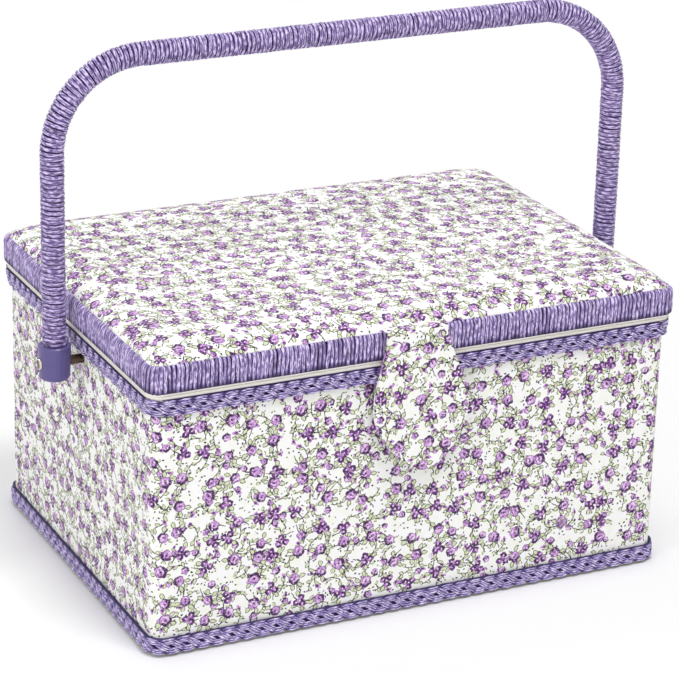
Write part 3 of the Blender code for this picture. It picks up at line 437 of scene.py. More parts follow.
def cord_finish(name, fold_shade_colour, middle, highlight_colour):
    """Twisted paper cord: crinkled fibres run along it, with a painted highlight on its back and painted shade in
    its folds and crease hollows.
    """
    made, dye, shader = new_finish(name, middle, 0.4, Specular_IOR_Level=0.5)
    flat = dye.node("UVMap", {"uv_map": "cloth"}, {})
    fold_shading = dye.node("Attribute", {"attribute_name": "fold_shading"}, {}, 2)
    fibre = dye.noise(flat.stretched(0.16, 1, 1), 0.0005, 3.0)
    crease = dye.noise(flat.stretched(0.3, 1, 1), 0.0016, 2.0)
    colour = dye.node("RGB", {}, {})
    colour.socket.default_value = middle
    # A painted highlight on the raised fibres of the cord's back, and painted shade down its sides and in the
    # hollows of its creases.
    painted_highlight = fibre.step(0.44, 0.6) * fold_shading.step(0.4, 0.05)
    painted_groove_shade = dye.math("MAXIMUM", fold_shading.step(0.14, 0.6), crease.step(0.42, 0.3) * 0.7)
    colour.over(painted_highlight, highlight_colour).over(painted_groove_shade * 0.96, fold_shade_colour).into(shader, "Base Color")
    (fibre * 0.3 + 0.26).into(shader, "Roughness")
    bumped(dye, shader, fibre * 0.5 + crease * 0.5, 0.0006, 0.8)
    return made


def strand(centre, across, outward, width, thickness, sides, offset, sunk_shade=0.0, bare=0,
           steep=0.75):
    """The skin of one cord along a line: its points, its flat map, and its painted shade: how deep
    each point lies in a fold, from 0 on its back to 1, the darker the steeper it falls off. Width,
    thickness and the added sunk shade may change along it. A bare side lies close to a neighbour, with less painted
    shade between."""
    turn = np.linspace(0, 2 * math.pi, sides + 1)
    width, thickness, sunk_shade = (np.broadcast_to(value, len(centre)) for value in (width, thickness, sunk_shade))
    half_x, half_y = width[:, None] * np.cos(turn) / 2, thickness[:, None] * np.sin(turn) / 2
    points = (centre[:, None] + across[:, None] * half_x[..., None] + outward[:, None] * half_y[..., None])
    run = np.concatenate(([0.0], np.cumsum(np.linalg.norm(np.diff(centre, axis=0), axis=1))))
    u = np.repeat((run + offset)[:, None], sides + 1, axis=1)
    v = np.repeat((turn * 0.0007 + offset * 7)[None], len(run), axis=0)
    # Painted shade: it grows where the surface turns away from the cord's back, is weaker on a bare side, and adds
    # any sunk shade.
    fold_shading = np.clip((1 - np.sin(turn))[None] * steep * np.where(np.cos(turn) * bare > 0.1, 0.8, 1)
                   + sunk_shade[:, None], 0, 1)
    return points, u, v, fold_shading


def bundle(name, cords, finish):
    """Joins the skins of many cords in one mesh."""
    points, faces, flat, fold_shadings = [], [], [], []
    start = 0
    for skin_points, u, v, fold_shading in cords:
        rows, columns = u.shape
        index = start + np.arange(rows * columns).reshape(rows, columns)
        quads = np.stack((index[:-1, :-1], index[:-1, 1:], index[1:, 1:], index[1:, :-1]), axis=-1)
        faces.append(quads.reshape(-1, 4))
        corner_u = np.stack((u[:-1, :-1], u[:-1, 1:], u[1:, 1:], u[1:, :-1]), axis=-1)
        corner_v = np.stack((v[:-1, :-1], v[:-1, 1:], v[1:, 1:], v[1:, :-1]), axis=-1)
        flat.append(np.stack((corner_u, corner_v), axis=-1).reshape(-1, 2))
        points.append(skin_points.reshape(-1, 3))
        fold_shadings.append(fold_shading.reshape(-1))
        start += rows * columns
    mesh = bpy.data.meshes.new(name)
    mesh.from_pydata(np.concatenate(points).tolist(), [], np.concatenate(faces).tolist())
    layer = mesh.uv_layers.new(name="cloth")
    layer.data.foreach_set("uv", np.concatenate(flat).reshape(-1).astype(np.float32))
    # Each point keeps its painted shade for the cord finishes to read.
    depth = mesh.attributes.new("fold_shading", "FLOAT", "POINT")
    depth.data.foreach_set("value", np.concatenate(fold_shadings).astype(np.float32))
    mesh.materials.append(finish)
    mesh.shade_smooth()
    made = bpy.data.objects.new(name, mesh)
    bpy.context.scene.collection.objects.link(made)
    return made


def wander(rng, count, knots, amount):
    """A soft random drift of a number of points, with a mean size in metres."""
    return np.interp(np.linspace(0, knots, count), np.arange(knots + 1), rng.normal(0, amount, knots + 1))


# Painted shade: a dark violet sheet lies behind both braids and the rim's turns and covers the rim's strip and the
# handle's core, so the gaps between cords read as shadow. It is mottled darker at random.
dyed_tape, dye, shader = new_finish("dyed_tape", shade(50, 34, 84), 0.9)
place = dye.node("TexCoord", {}, {}, "Object")
shade_mottle = dye.noise(place, 0.002, 4.0)
dark = dye.node("RGB", {}, {})
dark.socket.default_value = shade(52, 36, 86)
dark.over(shade_mottle.step(0.4, 0.7), shade(36, 24, 64)).into(shader, "Base Color")
bumped(dye, shader, shade_mottle, 0.0003, 0.5)

rng = np.random.default_rng(7)
braid_cord = cord_finish("braid_cord", shade(32, 14, 76), shade(124, 102, 176), shade(240, 230, 252))
BRAID_CORD = 0.00128
BRAID_HALF = 0.005
PLAIT_LENGTH = 0.045
PLAIT_STEPS = 44
PLAIT_RISE = 0.0007
STRANDS = 5
SHADOW_TAPE_PROUD = 0.0008
for node, raised, leaning in (("braid_top", 0.0009, 0.0011), ("braid_bottom", 0.0013, 0.0)):
    low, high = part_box(node)
    middle = (low[2] + high[2]) / 2 + raised
    reach = BRAID_HALF - 1.55 * BRAID_CORD
    out = SHADOW_TAPE_PROUD + PLAIT_RISE
    half_x, half_y, corner = BOX_HALF_X + out, BOX_HALF_Y + out, BOX_CORNER + out
    _, _, girth = edge_walk(half_x, half_y, corner, np.zeros(1))
    plaits = round(girth / PLAIT_LENGTH)
    marks = np.linspace(0, 1, plaits * PLAIT_STEPS + 1)
    points, outward, _ = edge_walk(half_x, half_y, corner, marks * girth)
    proud = np.concatenate((outward, np.zeros((len(marks), 1))), axis=1)
    cords = []
    for lay in range(STRANDS):
        turn = 2 * math.pi * (plaits * marks + lay / STRANDS)
        swing = -(np.sin(turn) + 0.16 * np.sin(3 * turn)) * reach * 1.12
        slope = -(np.cos(turn) + 0.48 * np.cos(3 * turn)) * reach * 1.12 * 2 * math.pi * plaits / girth
        over = np.cos(3 * turn)
        over_binding = np.clip(swing / reach, 0, 1) ** 2 * leaning
        along = np.stack((-outward[:, 1], outward[:, 0], slope), axis=-1)
        along /= np.linalg.norm(along, axis=1)[:, None]
        across = np.cross(proud, along)
        for place in (-1, 0, 1):
            stray = wander(rng, len(marks), plaits * 5, 0.00006)
            lift = over * PLAIT_RISE + over_binding + wander(rng, len(marks), plaits * 5, 0.00006)
            centre = np.concatenate((points + outward * lift[:, None],
                                     (middle + swing)[:, None]), axis=1)
            centre = centre + across * (place * BRAID_CORD + stray)[:, None]
            width = BRAID_CORD * (1 + wander(rng, len(marks), plaits * 7, 0.1))
            # Painted shade darkens each strand where it passes under the others.
            cords.append(strand(centre, across, proud, width, width, 8,
                                lay * 0.37 + place * 0.11, 0.36 - 0.66 * over, -place, 1.0))
    braid = bundle(node + "_cords", cords, braid_cord)
    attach(braid, "basket")
    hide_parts(node)
    # The dark sheet behind the cords is painted shade; above the top braid its edge leans out over the binding as a
    # thin line of painted shade.
    edge = middle + BRAID_HALF - 0.0006
    ring = []
    for proud, height in ((SHADOW_TAPE_PROUD, middle - reach), (SHADOW_TAPE_PROUD, middle + reach),
                          (SHADOW_TAPE_PROUD + leaning * 2.3, edge + leaning * 0.85),
                          (0.0002, edge + leaning * 0.3), (0.0002, middle - reach)):
        points, _, girth = edge_walk(BOX_HALF_X + proud, BOX_HALF_Y + proud, BOX_CORNER + proud,
                                     np.linspace(0, girth, 280, endpoint=False))
        ring.append(np.concatenate((points, np.full((len(points), 1), height)), axis=1))
    ring = np.stack(ring)
    shadow_tape = skin(node + "_tape", ring, (ring[..., 0], ring[..., 2]), dyed_tape, closed_rows=True,
                closed_columns=True)
    shadow_tape.data.shade_flat()
    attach(shadow_tape, "basket")


# Cream bindings:
# Cream cotton cord covers the top edge of the box and the lower edge of the lid. Where the lid is
# shut they lie on each other as a double line.

binding, dye, shader = new_finish("cream_binding", shade(248, 242, 232), 0.78, Sheen_Weight=0.2)
place = dye.node("TexCoord", {}, {}, "Object")
parts = dye.node("SeparateXYZ", {}, {0: place}, 0).socket.node
x, y, z = (Dye(dye.tree, parts.outputs[k]) for k in range(3))
twill = dye.math("SINE", (x + y + z * 1.2) * (2 * math.pi / 0.0011)) * 0.5 + 0.5
soil = dye.noise(place, 0.02, 3.0)
cream = dye.node("RGB", {}, {})
cream.socket.default_value = shade(253, 249, 242)
cream.over(twill.step(0.35, 0.0) * 0.2, shade(216, 204, 190)).over(
    soil.step(0.5, 0.8) * 0.12, shade(226, 214, 200)).into(shader, "Base Color")
(twill * 0.2 + 0.65).into(shader, "Roughness")
bumped(dye, shader, twill, 0.0003, 0.6)
coat(binding, "body_binding", "lid_binding")
PIPING_BULGE = 0.001
for node, body in (("lid_binding", "lid"), ("body_binding", "basket")):
    low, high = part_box(node)
    radius = (high[2] - low[2]) / 2
    marks = np.linspace(0, 1, 460)
    half_x, half_y = high[0] - PIPING_BULGE / 3, high[1] - PIPING_BULGE / 3
    _, _, girth = edge_walk(half_x, half_y, BOX_CORNER, np.zeros(1))
    points, outward, _ = edge_walk(half_x, half_y, BOX_CORNER, marks * girth)
    centre = np.concatenate((points, np.full((len(marks), 1), low[2] + radius)), axis=1)
    proud = np.concatenate((outward, np.zeros((len(marks), 1))), axis=1)
    upright = np.broadcast_to(np.array([0.0, 0.0, 1.0]), proud.shape)
    cord = strand(centre, upright, proud, 2 * radius, 2 * PIPING_BULGE, 14, 0.0)
    piping = bundle(node.replace("binding", "piping"), [cord], binding)
    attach(piping, body)


# Lining:
# Cream satin lines the box, the base and the ledges of the tray. It is glued flat over thin card
# and shines softly along its threads.

satin, dye, shader = new_finish("cream_satin", shade(240, 232, 216), 0.42, Sheen_Weight=0.25)
place = dye.node("TexCoord", {}, {}, "Object")
pull = dye.noise(place.stretched(0.2, 0.2, 1), 0.004, 3.0)
fold_shading = dye.noise(place, 0.045, 2.0)
cream = dye.node("RGB", {}, {})
cream.socket.default_value = shade(240, 232, 216)
# The folds are lighter where they rise, a painted highlight; the pulled streaks are darker at random.
cream.over(pull.step(0.4, 0.7) * 0.4, shade(222, 210, 190)).over(
    fold_shading.step(0.55, 0.8) * 0.35, shade(250, 245, 234)).into(shader, "Base Color")
(pull * 0.25 + 0.28).into(shader, "Roughness")
bumped(dye, shader, pull * 0.3 + fold_shading * 0.7, 0.0012, 0.5)
coat(satin, "lining_walls", "lining_base", "tray_ledge_left", "tray_ledge_right", "lid_lining",
     "tab_lining")


# Tray:
# One thin moulding of milky plastic with drafted pockets. Its skin is smooth with a fine satin
# texture in the pockets and slight marks of use.

tray_plastic, dye, shader = new_finish("tray_plastic", shade(232, 230, 226), 0.34,
                                       Subsurface_Weight=0.0, Coat_Weight=0.1)
place = dye.node("TexCoord", {}, {}, "Object")
grain = dye.noise(place, 0.0008, 3.0)
marks_of_use = dye.noise(place.stretched(1, 6, 1), 0.012, 4.0)
milky = dye.node("RGB", {}, {})
milky.socket.default_value = shade(234, 232, 228)
milky.over(marks_of_use.step(0.6, 0.72) * 0.3, shade(208, 204, 200)).into(shader, "Base Color")
(grain * 0.2 + 0.26).into(shader, "Roughness")
bumped(dye, shader, grain, 0.0001, 0.3)
coat(tray_plastic, "tray")


# Wound rim of the lid:
# A strip of board stands round the lid. Lilac paper cord is wound over it, turn by turn, and the
# turns fan out at the corners.

rim_cord = cord_finish("rim_cord", shade(34, 20, 60), shade(126, 105, 165), shade(222, 208, 244))
# The rim's strip and the handle's core take the dark sheet, painted shade in the gaps between the turns.
coat(dyed_tape, "rim_strip", "handle_core")

low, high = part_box("rim_winding")
RIM_WRAPS = 452
RIM_CORD = 0.0018
rim_half_x, rim_half_y, RIM_CORNER = high[0] - RIM_CORD / 2, high[1] - RIM_CORD / 2, 0.0078
_, _, girth = edge_walk(rim_half_x, rim_half_y, RIM_CORNER, np.zeros(1))
starts = (np.arange(RIM_WRAPS) + rng.uniform(-0.05, 0.05, RIM_WRAPS)) / RIM_WRAPS * girth
lean = rng.normal(0, 0.0002, RIM_WRAPS) + 0.0003
depth = 0.0044
rise = high[2] - low[2]
lifts = np.array([-0.12, -0.145, -0.1, 0.14, 0.22, 0.31, 0.4, 0.49, 0.58, 0.67, 0.76, 0.84, 0.91, 0.96, 1.0,
                  1.01, 1.01, 1.0, 0.96, 0.9, 0.78])
insets = np.array([0.42, 0.2, 0.03, 0, 0, 0, 0, 0, 0, 0, 0.01, 0.04, 0.11, 0.21, 0.36, 0.5, 0.64, 0.78, 0.9,
                   1.0, 1.0])
# Painted shade darkens the lower ends of the turns, where they tuck under the strip.
tucked_shade = np.interp(lifts, (-0.11, -0.09), (0.9, 0.0))
cords = []
for k in range(RIM_WRAPS):
    run = starts[k] + (lifts - 0.5) * lean[k] * 2 + wander(rng, len(lifts), 7, 0.00008)
    points, outward, _ = edge_walk(rim_half_x, rim_half_y, RIM_CORNER, run)
    wide = girth / RIM_WRAPS * (rng.uniform(0.98, 1.04) + wander(rng, len(lifts), 6, 0.03))
    proud = rng.uniform(-0.0003, 0.00015) + wander(rng, len(lifts), 7, 0.00008)
    centre = np.concatenate((points - outward * (insets * depth - proud)[:, None],
                             (low[2] + lifts * (rise - RIM_CORD / 2))[:, None]), axis=1)
    along = np.gradient(centre, axis=0)
    along /= np.linalg.norm(along, axis=1)[:, None]
    sideways = np.stack((-outward[:, 1], outward[:, 0], np.zeros(len(run))), axis=-1)
    thick = np.cross(sideways, along)
    squeeze = 1 - 0.5 * insets * (1 - abs(outward[:, 0]) ** 8) * (1 - abs(outward[:, 1]) ** 8)
    # Turns that lie deeper than their neighbours get more painted shade.
    cords.append(strand(centre, sideways * squeeze[:, None], thick, wide, RIM_CORD, 10,
                        float(rng.uniform(0, 3)), tucked_shade - 0.1 - proud * 900))
winding = bundle("rim_cord_turns", cords, rim_cord)
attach(winding, "lid")
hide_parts("rim_winding")
# A dark ring of the same sheet behind the turns' lower ends is painted shade.
ring = []
for proud, height in ((0.0003, -0.0019), (0.0003, 0.002), (-0.001, 0.002), (-0.001, -0.0019)):
    points, _, _ = edge_walk(rim_half_x + proud, rim_half_y + proud, RIM_CORNER + proud,
                             np.linspace(0, girth, 280, endpoint=False))
    ring.append(np.concatenate((points, np.full((len(points), 1), low[2] + height)), axis=1))
ring = np.stack(ring)
shadow_tape = skin("rim_tape", ring, (ring[..., 0], ring[..., 2]), dyed_tape, closed_rows=True,
            closed_columns=True)
shadow_tape.data.shade_flat()
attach(shadow_tape, "lid")


# Padded top of the lid:
# The print is drawn over foam and tucked down behind the wound rim, so it swells up from the rim
# and is nearly flat on top, with slight puckers where it is pulled in.

low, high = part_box("lid_cover")
RIM_LAP, PAD_CORNER = 0.0027, 0.0057
pad_half_x, pad_half_y = high[0] + RIM_LAP, high[1] + RIM_LAP
edge_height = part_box("rim_winding")[1][2] - 0.0004
crown = high[2] - edge_height
columns, rows = 150, 110
spread_x = np.sin(np.pi / 2 * np.sin(np.pi / 2 * np.linspace(-1, 1, columns)))
spread_y = np.sin(np.pi / 2 * np.sin(np.pi / 2 * np.linspace(-1, 1, rows)))
gx, gy = np.meshgrid(spread_x * pad_half_x, spread_y * pad_half_y)
PAD_ROLL = 0.028
dome = 0.0012 * (1 - (gx / pad_half_x) ** 2) * (1 - (gy / pad_half_y) ** 2)
lift = np.full(gx.shape, crown - 0.0012)
for at, half in ((gx, pad_half_x), (gy, pad_half_y)):
    share = np.clip((half - abs(at)) / PAD_ROLL, 0, 1)
    lift = lift * np.power(np.clip(1 - (1 - share) ** 2.2, 0, 1), 0.5)
near = np.exp(-np.minimum(pad_half_x - abs(gx), pad_half_y - abs(gy)) / 0.008)
pucker = (np.sin(gx * 260 + np.sin(gx * 90) * 2) + np.sin(gy * 240 + np.sin(gy * 70) * 2)) * 0.00022 * near
slack = (np.sin(gx * 31 + gy * 17) * np.sin(gy * 37 - gx * 11)) * 0.0002 * (1 - near)
height = edge_height + lift + dome + pucker + slack
over_x, over_y = abs(gx) - (pad_half_x - PAD_CORNER), abs(gy) - (pad_half_y - PAD_CORNER)
in_corner = (over_x > 0) & (over_y > 0)
pull = np.where(in_corner, np.maximum(over_x, over_y) / np.hypot(over_x, over_y).clip(1e-9), 1)
px = np.where(in_corner, np.sign(gx) * (pad_half_x - PAD_CORNER + over_x * pull), gx)
py = np.where(in_corner, np.sign(gy) * (pad_half_y - PAD_CORNER + over_y * pull), gy)
grid = np.stack((px, py, height), axis=-1)
span_u = np.concatenate(([0.0], np.cumsum(np.hypot(np.diff(gx[rows // 2]), np.diff(height[rows // 2])))))
span_v = np.concatenate(([0.0], np.cumsum(np.hypot(np.diff(gy[:, columns // 2]),
                                                   np.diff(height[:, columns // 2])))))
flat = np.broadcast_to(span_u[None] + 0.4, gx.shape), np.broadcast_to(span_v[:, None] + 0.7, gx.shape)
padding = skin("padded_top", grid, flat, print_cotton)
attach(padding, "lid")
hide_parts("lid_cover", "lid_pad")


# Pincushion:
# A small stuffed cushion of the same satin is sewn to the lining of the lid.

low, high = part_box("pincushion")
half = [(high[k] - low[k]) / 2 for k in range(3)]
count = 48
gx, gy = np.meshgrid(np.linspace(-1, 1, count), np.linspace(-1, 1, count))
edge_x, edge_y = gx * np.sqrt(1 - gy ** 2 / 2 * 0.75), gy * np.sqrt(1 - gx ** 2 / 2 * 0.75)
swell = np.power(np.clip((1 - gx ** 2) * (1 - gy ** 2), 0, 1), 0.4)
tuck = 1 - 0.35 * np.exp(-(gx ** 2 * 30 + gy ** 2 * 16))
grid = np.stack((edge_x * half[0] * 1.06, edge_y * half[1] * 1.06,
                 high[2] - swell * tuck * 2 * half[2] * 0.98), axis=-1)
flat = gx * half[0], gy * half[1]
cushion = skin("pincushion_satin", grid[:, ::-1], flat, satin)
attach(cushion, "lid")
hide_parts("pincushion")


# Tab:
# A stiffened tongue of the print hangs over the front of the lid and snaps to the box with a
# magnet. Its cloth is turned over a card and stitched, and its neck is glued on top of the lid.

steel, dye, shader = new_finish("bright_nickel", shade(206, 200, 190), 0.22, Metallic=1.0)
place = dye.node("TexCoord", {}, {}, "Object")
scuff = dye.noise(place, 0.0015, 4.0)
bright = dye.node("RGB", {}, {})
bright.socket.default_value = shade(214, 208, 198)
parts = dye.node("SeparateXYZ", {}, {0: place}, 0).socket.node
PIVOT_MIDDLE = [(low + high) / 2 for low, high in zip(*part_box("pivot_screw_left"))]
from_axis = oval(dye, Dye(dye.tree, parts.outputs[1]) - PIVOT_MIDDLE[1],
                 Dye(dye.tree, parts.outputs[2]) - PIVOT_MIDDLE[2], 0.0, 0.001, 0.001)
# A dark band round the screw's axis is a painted reflection, with the middle and the edge left bright.
ring = from_axis.step(1.0, 1.6) * from_axis.step(2.9, 2.3)
bright.over(ring * 0.85, shade(84, 74, 62)).over(
    scuff.step(0.5, 0.8) * 0.4, shade(160, 150, 138)).into(shader, "Base Color")
(scuff * 0.25 + 0.12).into(shader, "Roughness")
bumped(dye, shader, scuff, 0.00006, 0.4)
coat(steel, "tab_magnet", "magnet_plate", "pivot_screw_left", "pivot_screw_right", "washer_left",
     "washer_right", "nut_left", "nut_right")

low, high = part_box("tab_cover")
tab_top, tab_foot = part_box("tab_root")[1][2], low[2]
TAB_NECK, TAB_WIDEST = 0.018, (high[0] - low[0]) / 2
TAB_WIDEST_DROP, TAB_LENGTH = 0.047, tab_top - 0.0003 - tab_foot
TAB_LEAN_SHARE, TAB_TAPER_SHARE = 0.085, 0.3
TAB_BEND = 0.0017
TAB_COVER_THICKNESS = high[1] - low[1] + 0.0004


def tab_width(drop):
    """Half the tab's width at a drop below the fold: it widens, then ends like an egg."""
    share = np.clip(drop / TAB_WIDEST_DROP, 0, 1)
    flare = TAB_NECK + (TAB_WIDEST - TAB_NECK) * share * share * (3 - 2 * share)
    sine = np.clip((drop - TAB_WIDEST_DROP) / (TAB_LENGTH - TAB_WIDEST_DROP), 0, 1)
    end = TAB_WIDEST * np.sqrt(1 - sine ** 2) * (1 - TAB_TAPER_SHARE * sine ** 2)
    return np.where(drop > TAB_WIDEST_DROP, end, flare)


rows = np.concatenate((np.linspace(-0.0085, 0, 12)[:-1], np.linspace(0, TAB_WIDEST_DROP, 44)[:-1],
                       TAB_WIDEST_DROP + (TAB_LENGTH - TAB_WIDEST_DROP) * np.sin(np.linspace(0, math.pi / 2, 36))))
turned = np.clip((rows + TAB_BEND) / (2 * TAB_BEND), 0, 1) * math.pi / 2
face_y = low[1] - 0.0003
path_y = np.where(rows < TAB_BEND, face_y + TAB_BEND - TAB_BEND * np.sin(turned), face_y)
path_y = np.where(rows < -TAB_BEND, face_y + TAB_BEND - (rows + TAB_BEND), path_y)
path_z = tab_top + 0.0004 - np.where(rows < -TAB_BEND, 0, np.where(
    rows < TAB_BEND, TAB_BEND * (1 - np.cos(turned)), rows))
ahead_y, ahead_z = -np.cos(turned), -np.sin(turned)
half = tab_width(np.clip(rows, 0, TAB_LENGTH))
middle = (low[0] + high[0]) / 2 + TAB_LEAN_SHARE * (np.clip(rows, 0, None) - TAB_WIDEST_DROP)
FACE_STEPS = 30
face = np.linspace(-1, 1, FACE_STEPS + 1)
thickness = np.where(rows < 0, 0.001 + 0.0004 * (rows + 0.0085) / 0.0085, TAB_COVER_THICKNESS)
thickness = np.where((rows >= 0) & (rows < 0.006), 0.0014 + (TAB_COVER_THICKNESS - 0.0014) * rows / 0.006, thickness)
ring_x, ring_in = [], []
for share in face:
    ring_x.append(share * half)
    crease = 0.00022 * math.exp(-((abs(share) - 0.965) / 0.016) ** 2)
    ring_in.append(np.full(len(rows), crease))
for turn in (20, 50, 90, 130, 160):
    ring_x.append(half + 0.00035 * math.sin(math.radians(turn)))
    ring_in.append(thickness * (1 - math.cos(math.radians(turn))) / 2)
for share in face[::-3]:
    ring_x.append(share * half)
    ring_in.append(thickness)
for turn in (160, 130, 90, 50, 20):
    ring_x.append(-half - 0.00035 * math.sin(math.radians(turn)))
    ring_in.append(thickness * (1 - math.cos(math.radians(turn))) / 2)
ring_x, ring_in = np.stack(ring_x, axis=-1), np.stack(ring_in, axis=-1)
grid = np.stack((middle[:, None] + ring_x, path_y[:, None] - ring_in * ahead_z[:, None],
                 path_z[:, None] + ring_in * ahead_y[:, None]), axis=-1)
flat = ring_x + middle[:, None] + 0.9 + ring_in * np.sign(ring_x), np.broadcast_to(rows[:, None] + 0.2, ring_x.shape)
tab = skin("tab_cloth", grid, flat, print_cotton, closed_columns=True, caps=True)
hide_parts("tab_root", "tab_cover")
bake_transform(tab)


# Hinge:
# A strip of cream cloth joins the back edges of the lid and the box, glued to both bindings. On
# the box it folds as the lid swings back; here it is built as one fixed strip.

low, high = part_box("hinge_cloth_body")[0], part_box("hinge_cloth_lid")[1]
heights = np.linspace(low[2] - 0.0006, high[2], 13)
lengths = np.linspace(low[0], high[0], 90)
slack = 0.0004 * np.sin(np.pi * (heights - heights[0]) / (heights[-1] - heights[0]))
front, back = low[1] + 0.0001, high[1] - 0.0003
grid = np.zeros((26, 90, 3))
grid[..., 0] = lengths[None]
grid[:13, :, 1] = (back + slack)[:, None] + np.sin(lengths * 190)[None] * 0.00008
grid[13:, :, 1] = front
grid[:, :, 2] = np.concatenate((heights, heights[::-1]))[:, None]
flat = np.broadcast_to(lengths[None], grid.shape[:2]), grid[..., 2]
strip = skin("hinge_strip", grid[:, ::-1], flat, binding, closed_rows=True)
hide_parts("hinge_cloth_body", "hinge_cloth_lid")
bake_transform(strip)


# Wound handle:
# A bent cane rod is wound from end to end with the same lilac cord, turn against turn. It swings
# on a screw at each foot.

handle_cord = cord_finish("handle_cord", shade(32, 17, 56), shade(106, 86, 144), shade(212, 196, 238))
low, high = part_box("handle_winding")
WINDING = 0.0067
leg_x, rise = high[0] - WINDING, high[2] - WINDING
leg_y = (low[1] + high[1]) / 2
HANDLE_BEND = 0.051
HANDLE_TURNS = 250
straight, arch = rise - HANDLE_BEND - low[2], HANDLE_BEND * math.pi / 2
bar = 2 * (leg_x - HANDLE_BEND)
total = 2 * straight + 2 * arch + bar


def handle_line(run):
    """Points on the handle's middle line and its direction, at distances from the left foot."""
    bends = np.linspace(0, math.pi / 2, 33)
    left = np.stack((-leg_x + HANDLE_BEND * (1 - np.cos(bends)), rise - HANDLE_BEND * (1 - np.sin(bends))), -1)
    right = left[::-1] * (-1, 1)
    line = np.concatenate(([(-leg_x, low[2])], left, right, [(leg_x, low[2])]))
    angle = np.concatenate(([math.pi / 2], math.pi / 2 - bends, -bends, [-math.pi / 2]))
    marks = np.concatenate(([0.0], np.cumsum(np.hypot(*np.diff(line, axis=0).T))))
    run = run / total * marks[-1]
    at = np.stack((np.interp(run, marks, line[:, 0]), np.interp(run, marks, line[:, 1])), -1)
    lean = np.interp(run, marks, angle)
    return at, lean


steps = HANDLE_TURNS * 24
share = np.linspace(0, 1, steps + 1)
WOUND_CORD = 0.0019
turns = 2 * math.pi * HANDLE_TURNS * share
drift = wander(rng, steps + 1, HANDLE_TURNS, 0.00005) + wander(rng, steps + 1, HANDLE_TURNS * 5, 0.00011)
at, lean = handle_line(np.clip(share * total + drift, 0, total))
outward = np.stack((-np.sin(lean) * np.cos(turns), np.sin(turns), np.cos(lean) * np.cos(turns)), -1)
radius = WINDING - WOUND_CORD / 2 + wander(rng, steps + 1, HANDLE_TURNS * 4, 0.00009)
centre = np.stack((at[:, 0], np.full(len(at), leg_y), at[:, 1]), -1) + outward * radius[:, None]
along = np.gradient(centre, axis=0)
along /= np.linalg.norm(along, axis=1)[:, None]
across = np.cross(along, outward)
widths = total / HANDLE_TURNS * (1 + wander(rng, steps + 1, HANDLE_TURNS * 3, 0.06))
# The handle's turns get a little less painted fold shade than the other cords.
turned_cord = strand(centre, across, outward, widths, WOUND_CORD, 10, 0.0, -0.08)
wound = bundle("handle_cord_turns", [turned_cord], handle_cord)
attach(wound, "handle")
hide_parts("handle_winding")


# Caps and pivots:
# A moulded violet cap holds each end of the winding. A nickel screw passes through it and a brass
# sleeve into the wall, with a washer and a domed nut inside the box.

cap_plastic, dye, shader = new_finish("violet_moulding", shade(86, 76, 133), 0.36, Coat_Weight=0.15)
place = dye.node("TexCoord", {}, {}, "Object")
mottle = dye.noise(place, 0.004, 3.0)
fine = dye.noise(place, 0.0006, 3.0)
violet = dye.node("RGB", {}, {})
violet.socket.default_value = shade(86, 76, 133)
violet.over(mottle.step(0.45, 0.75) * 0.4, shade(75, 64, 119)).into(shader, "Base Color")
(fine * 0.2 + 0.28).into(shader, "Roughness")
bumped(dye, shader, fine, 0.00008, 0.4)
coat(cap_plastic, "handle_cap_left", "handle_cap_right")

brass, dye, shader = new_finish("dull_brass", shade(104, 88, 74), 0.4, Metallic=1.0)
place = dye.node("TexCoord", {}, {}, "Object")
tarnish = dye.noise(place, 0.002, 4.0)
dull = dye.node("RGB", {}, {})
dull.socket.default_value = shade(112, 94, 78)
dull.over(tarnish.step(0.4, 0.7), shade(70, 58, 50)).into(shader, "Base Color")
(tarnish * 0.3 + 0.2).into(shader, "Roughness")
coat(brass, "spacer_left", "spacer_right")


# Studio:
# White paper under and behind the basket, a broad lamp above and to the left, and a camera where
# the photographer stood.

floor_paper = bpy.data.materials.new("white_paper")
floor_paper.use_nodes = True
tree = floor_paper.node_tree
dye = Dye(tree)
shader = tree.nodes["Principled BSDF"]
shader.inputs["Base Color"].default_value = (0.93, 0.93, 0.93, 1.0)
shader.inputs["Roughness"].default_value = 1.0
shader.inputs["Specular IOR Level"].default_value = 0.0
seen = dye.node("LightPath", {}, {}, "Is Camera Ray")
place = dye.node("TexCoord", {}, {}, "Object")
away = dye.node("VectorMath", {"operation": "LENGTH"}, {0: place}, "Value").step(0.26, 0.52)
weak, strong = tree.nodes.new("ShaderNodeEmission"), tree.nodes.new("ShaderNodeEmission")
weak.inputs["Strength"].default_value = 0.0
add = tree.nodes.new("ShaderNodeAddShader")
near, pick = tree.nodes.new("ShaderNodeMixShader"), tree.nodes.new("ShaderNodeMixShader")
tree.links.new(shader.outputs[0], add.inputs[0])
tree.links.new(weak.outputs[0], add.inputs[1])
tree.links.new(away.socket, near.inputs[0])
tree.links.new(add.outputs[0], near.inputs[1])
tree.links.new(strong.outputs[0], near.inputs[2])
tree.links.new(seen.socket, pick.inputs[0])
tree.links.new(shader.outputs[0], pick.inputs[1])
tree.links.new(near.outputs[0], pick.inputs[2])
tree.links.new(pick.outputs[0], tree.nodes["Material Output"].inputs[0])
mesh = bpy.data.meshes.new("floor")
mesh.from_pydata([(-6, -6, 0), (6, -6, 0), (6, 6, 0), (-6, 6, 0)], [], [(0, 1, 2, 3)])
mesh.materials.append(floor_paper)
floor = bpy.data.objects.new("floor", mesh)
bpy.context.scene.collection.objects.link(floor)
floor.location.z = -0.0003

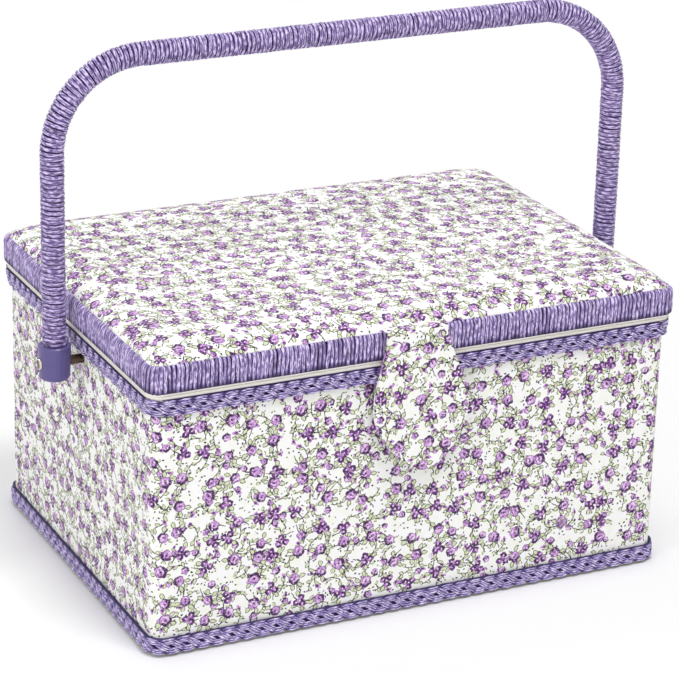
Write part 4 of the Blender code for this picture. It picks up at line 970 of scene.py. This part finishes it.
world = bpy.data.worlds.new("studio")
bpy.context.scene.world = world
world.use_nodes = True
dye = Dye(world.node_tree)
light_path = dye.node("LightPath", {}, {}, "Is Camera Ray").socket.node
direct = Dye(dye.tree, light_path.outputs["Is Camera Ray"]).math(
    "MAXIMUM", Dye(dye.tree, light_path.outputs["Is Camera Ray"]),
    Dye(dye.tree, light_path.outputs["Is Glossy Ray"]))
background = world.node_tree.nodes["Background"]
background.inputs["Color"].default_value = (1.0, 1.0, 1.0, 1.0)
(direct * 0.4 + 0.6).into(background, "Strength")


def lamp(name, spot, aim, size, power):
    """A broad soft lamp turned to a place."""
    data = bpy.data.lights.new(name, "AREA")
    data.shape = "DISK"
    data.size = size
    data.energy = power
    made = bpy.data.objects.new(name, data)
    bpy.context.scene.collection.objects.link(made)
    made.location = spot
    made.rotation_euler = (Vector(aim) - Vector(spot)).to_track_quat("-Z", "Y").to_euler()
    return made


lamp("key", (0.1, -0.75, 1.9), (0, 0, 0.1), 0.7, 16)
lamp("fill", (-1.6, -0.9, 0.9), (0, 0, 0.1), 1.2, 9.8)
lamp("back", (0.0, 1.0, 1.7), (0, 0, 0.15), 0.9, 7)

YAW, PITCH, ROLL = 0.4573, 0.3754, 0.0252
FOCUS_PIXELS, PICTURE_WIDTH = 2930.0, 679.0
data = bpy.data.cameras.new("camera")
data.sensor_fit = "HORIZONTAL"
data.sensor_width = 36.0
data.lens = FOCUS_PIXELS / PICTURE_WIDTH * data.sensor_width
camera = bpy.data.objects.new("camera", data)
bpy.context.scene.collection.objects.link(camera)
ahead = Vector((math.sin(YAW) * math.cos(PITCH), math.cos(YAW) * math.cos(PITCH), -math.sin(PITCH)))
level = Vector((math.cos(YAW), -math.sin(YAW), 0))
upward = level.cross(ahead)
camera_right = level * math.cos(ROLL) + upward * math.sin(ROLL)
camera_up = upward * math.cos(ROLL) - level * math.sin(ROLL)
camera.matrix_world = Matrix.Translation((-0.6913, -1.4157, 0.7421)) @ Matrix(
    (camera_right, camera_up, -ahead)).transposed().to_4x4()
bpy.context.scene.camera = camera
bpy.context.scene.view_settings.view_transform = "Standard"
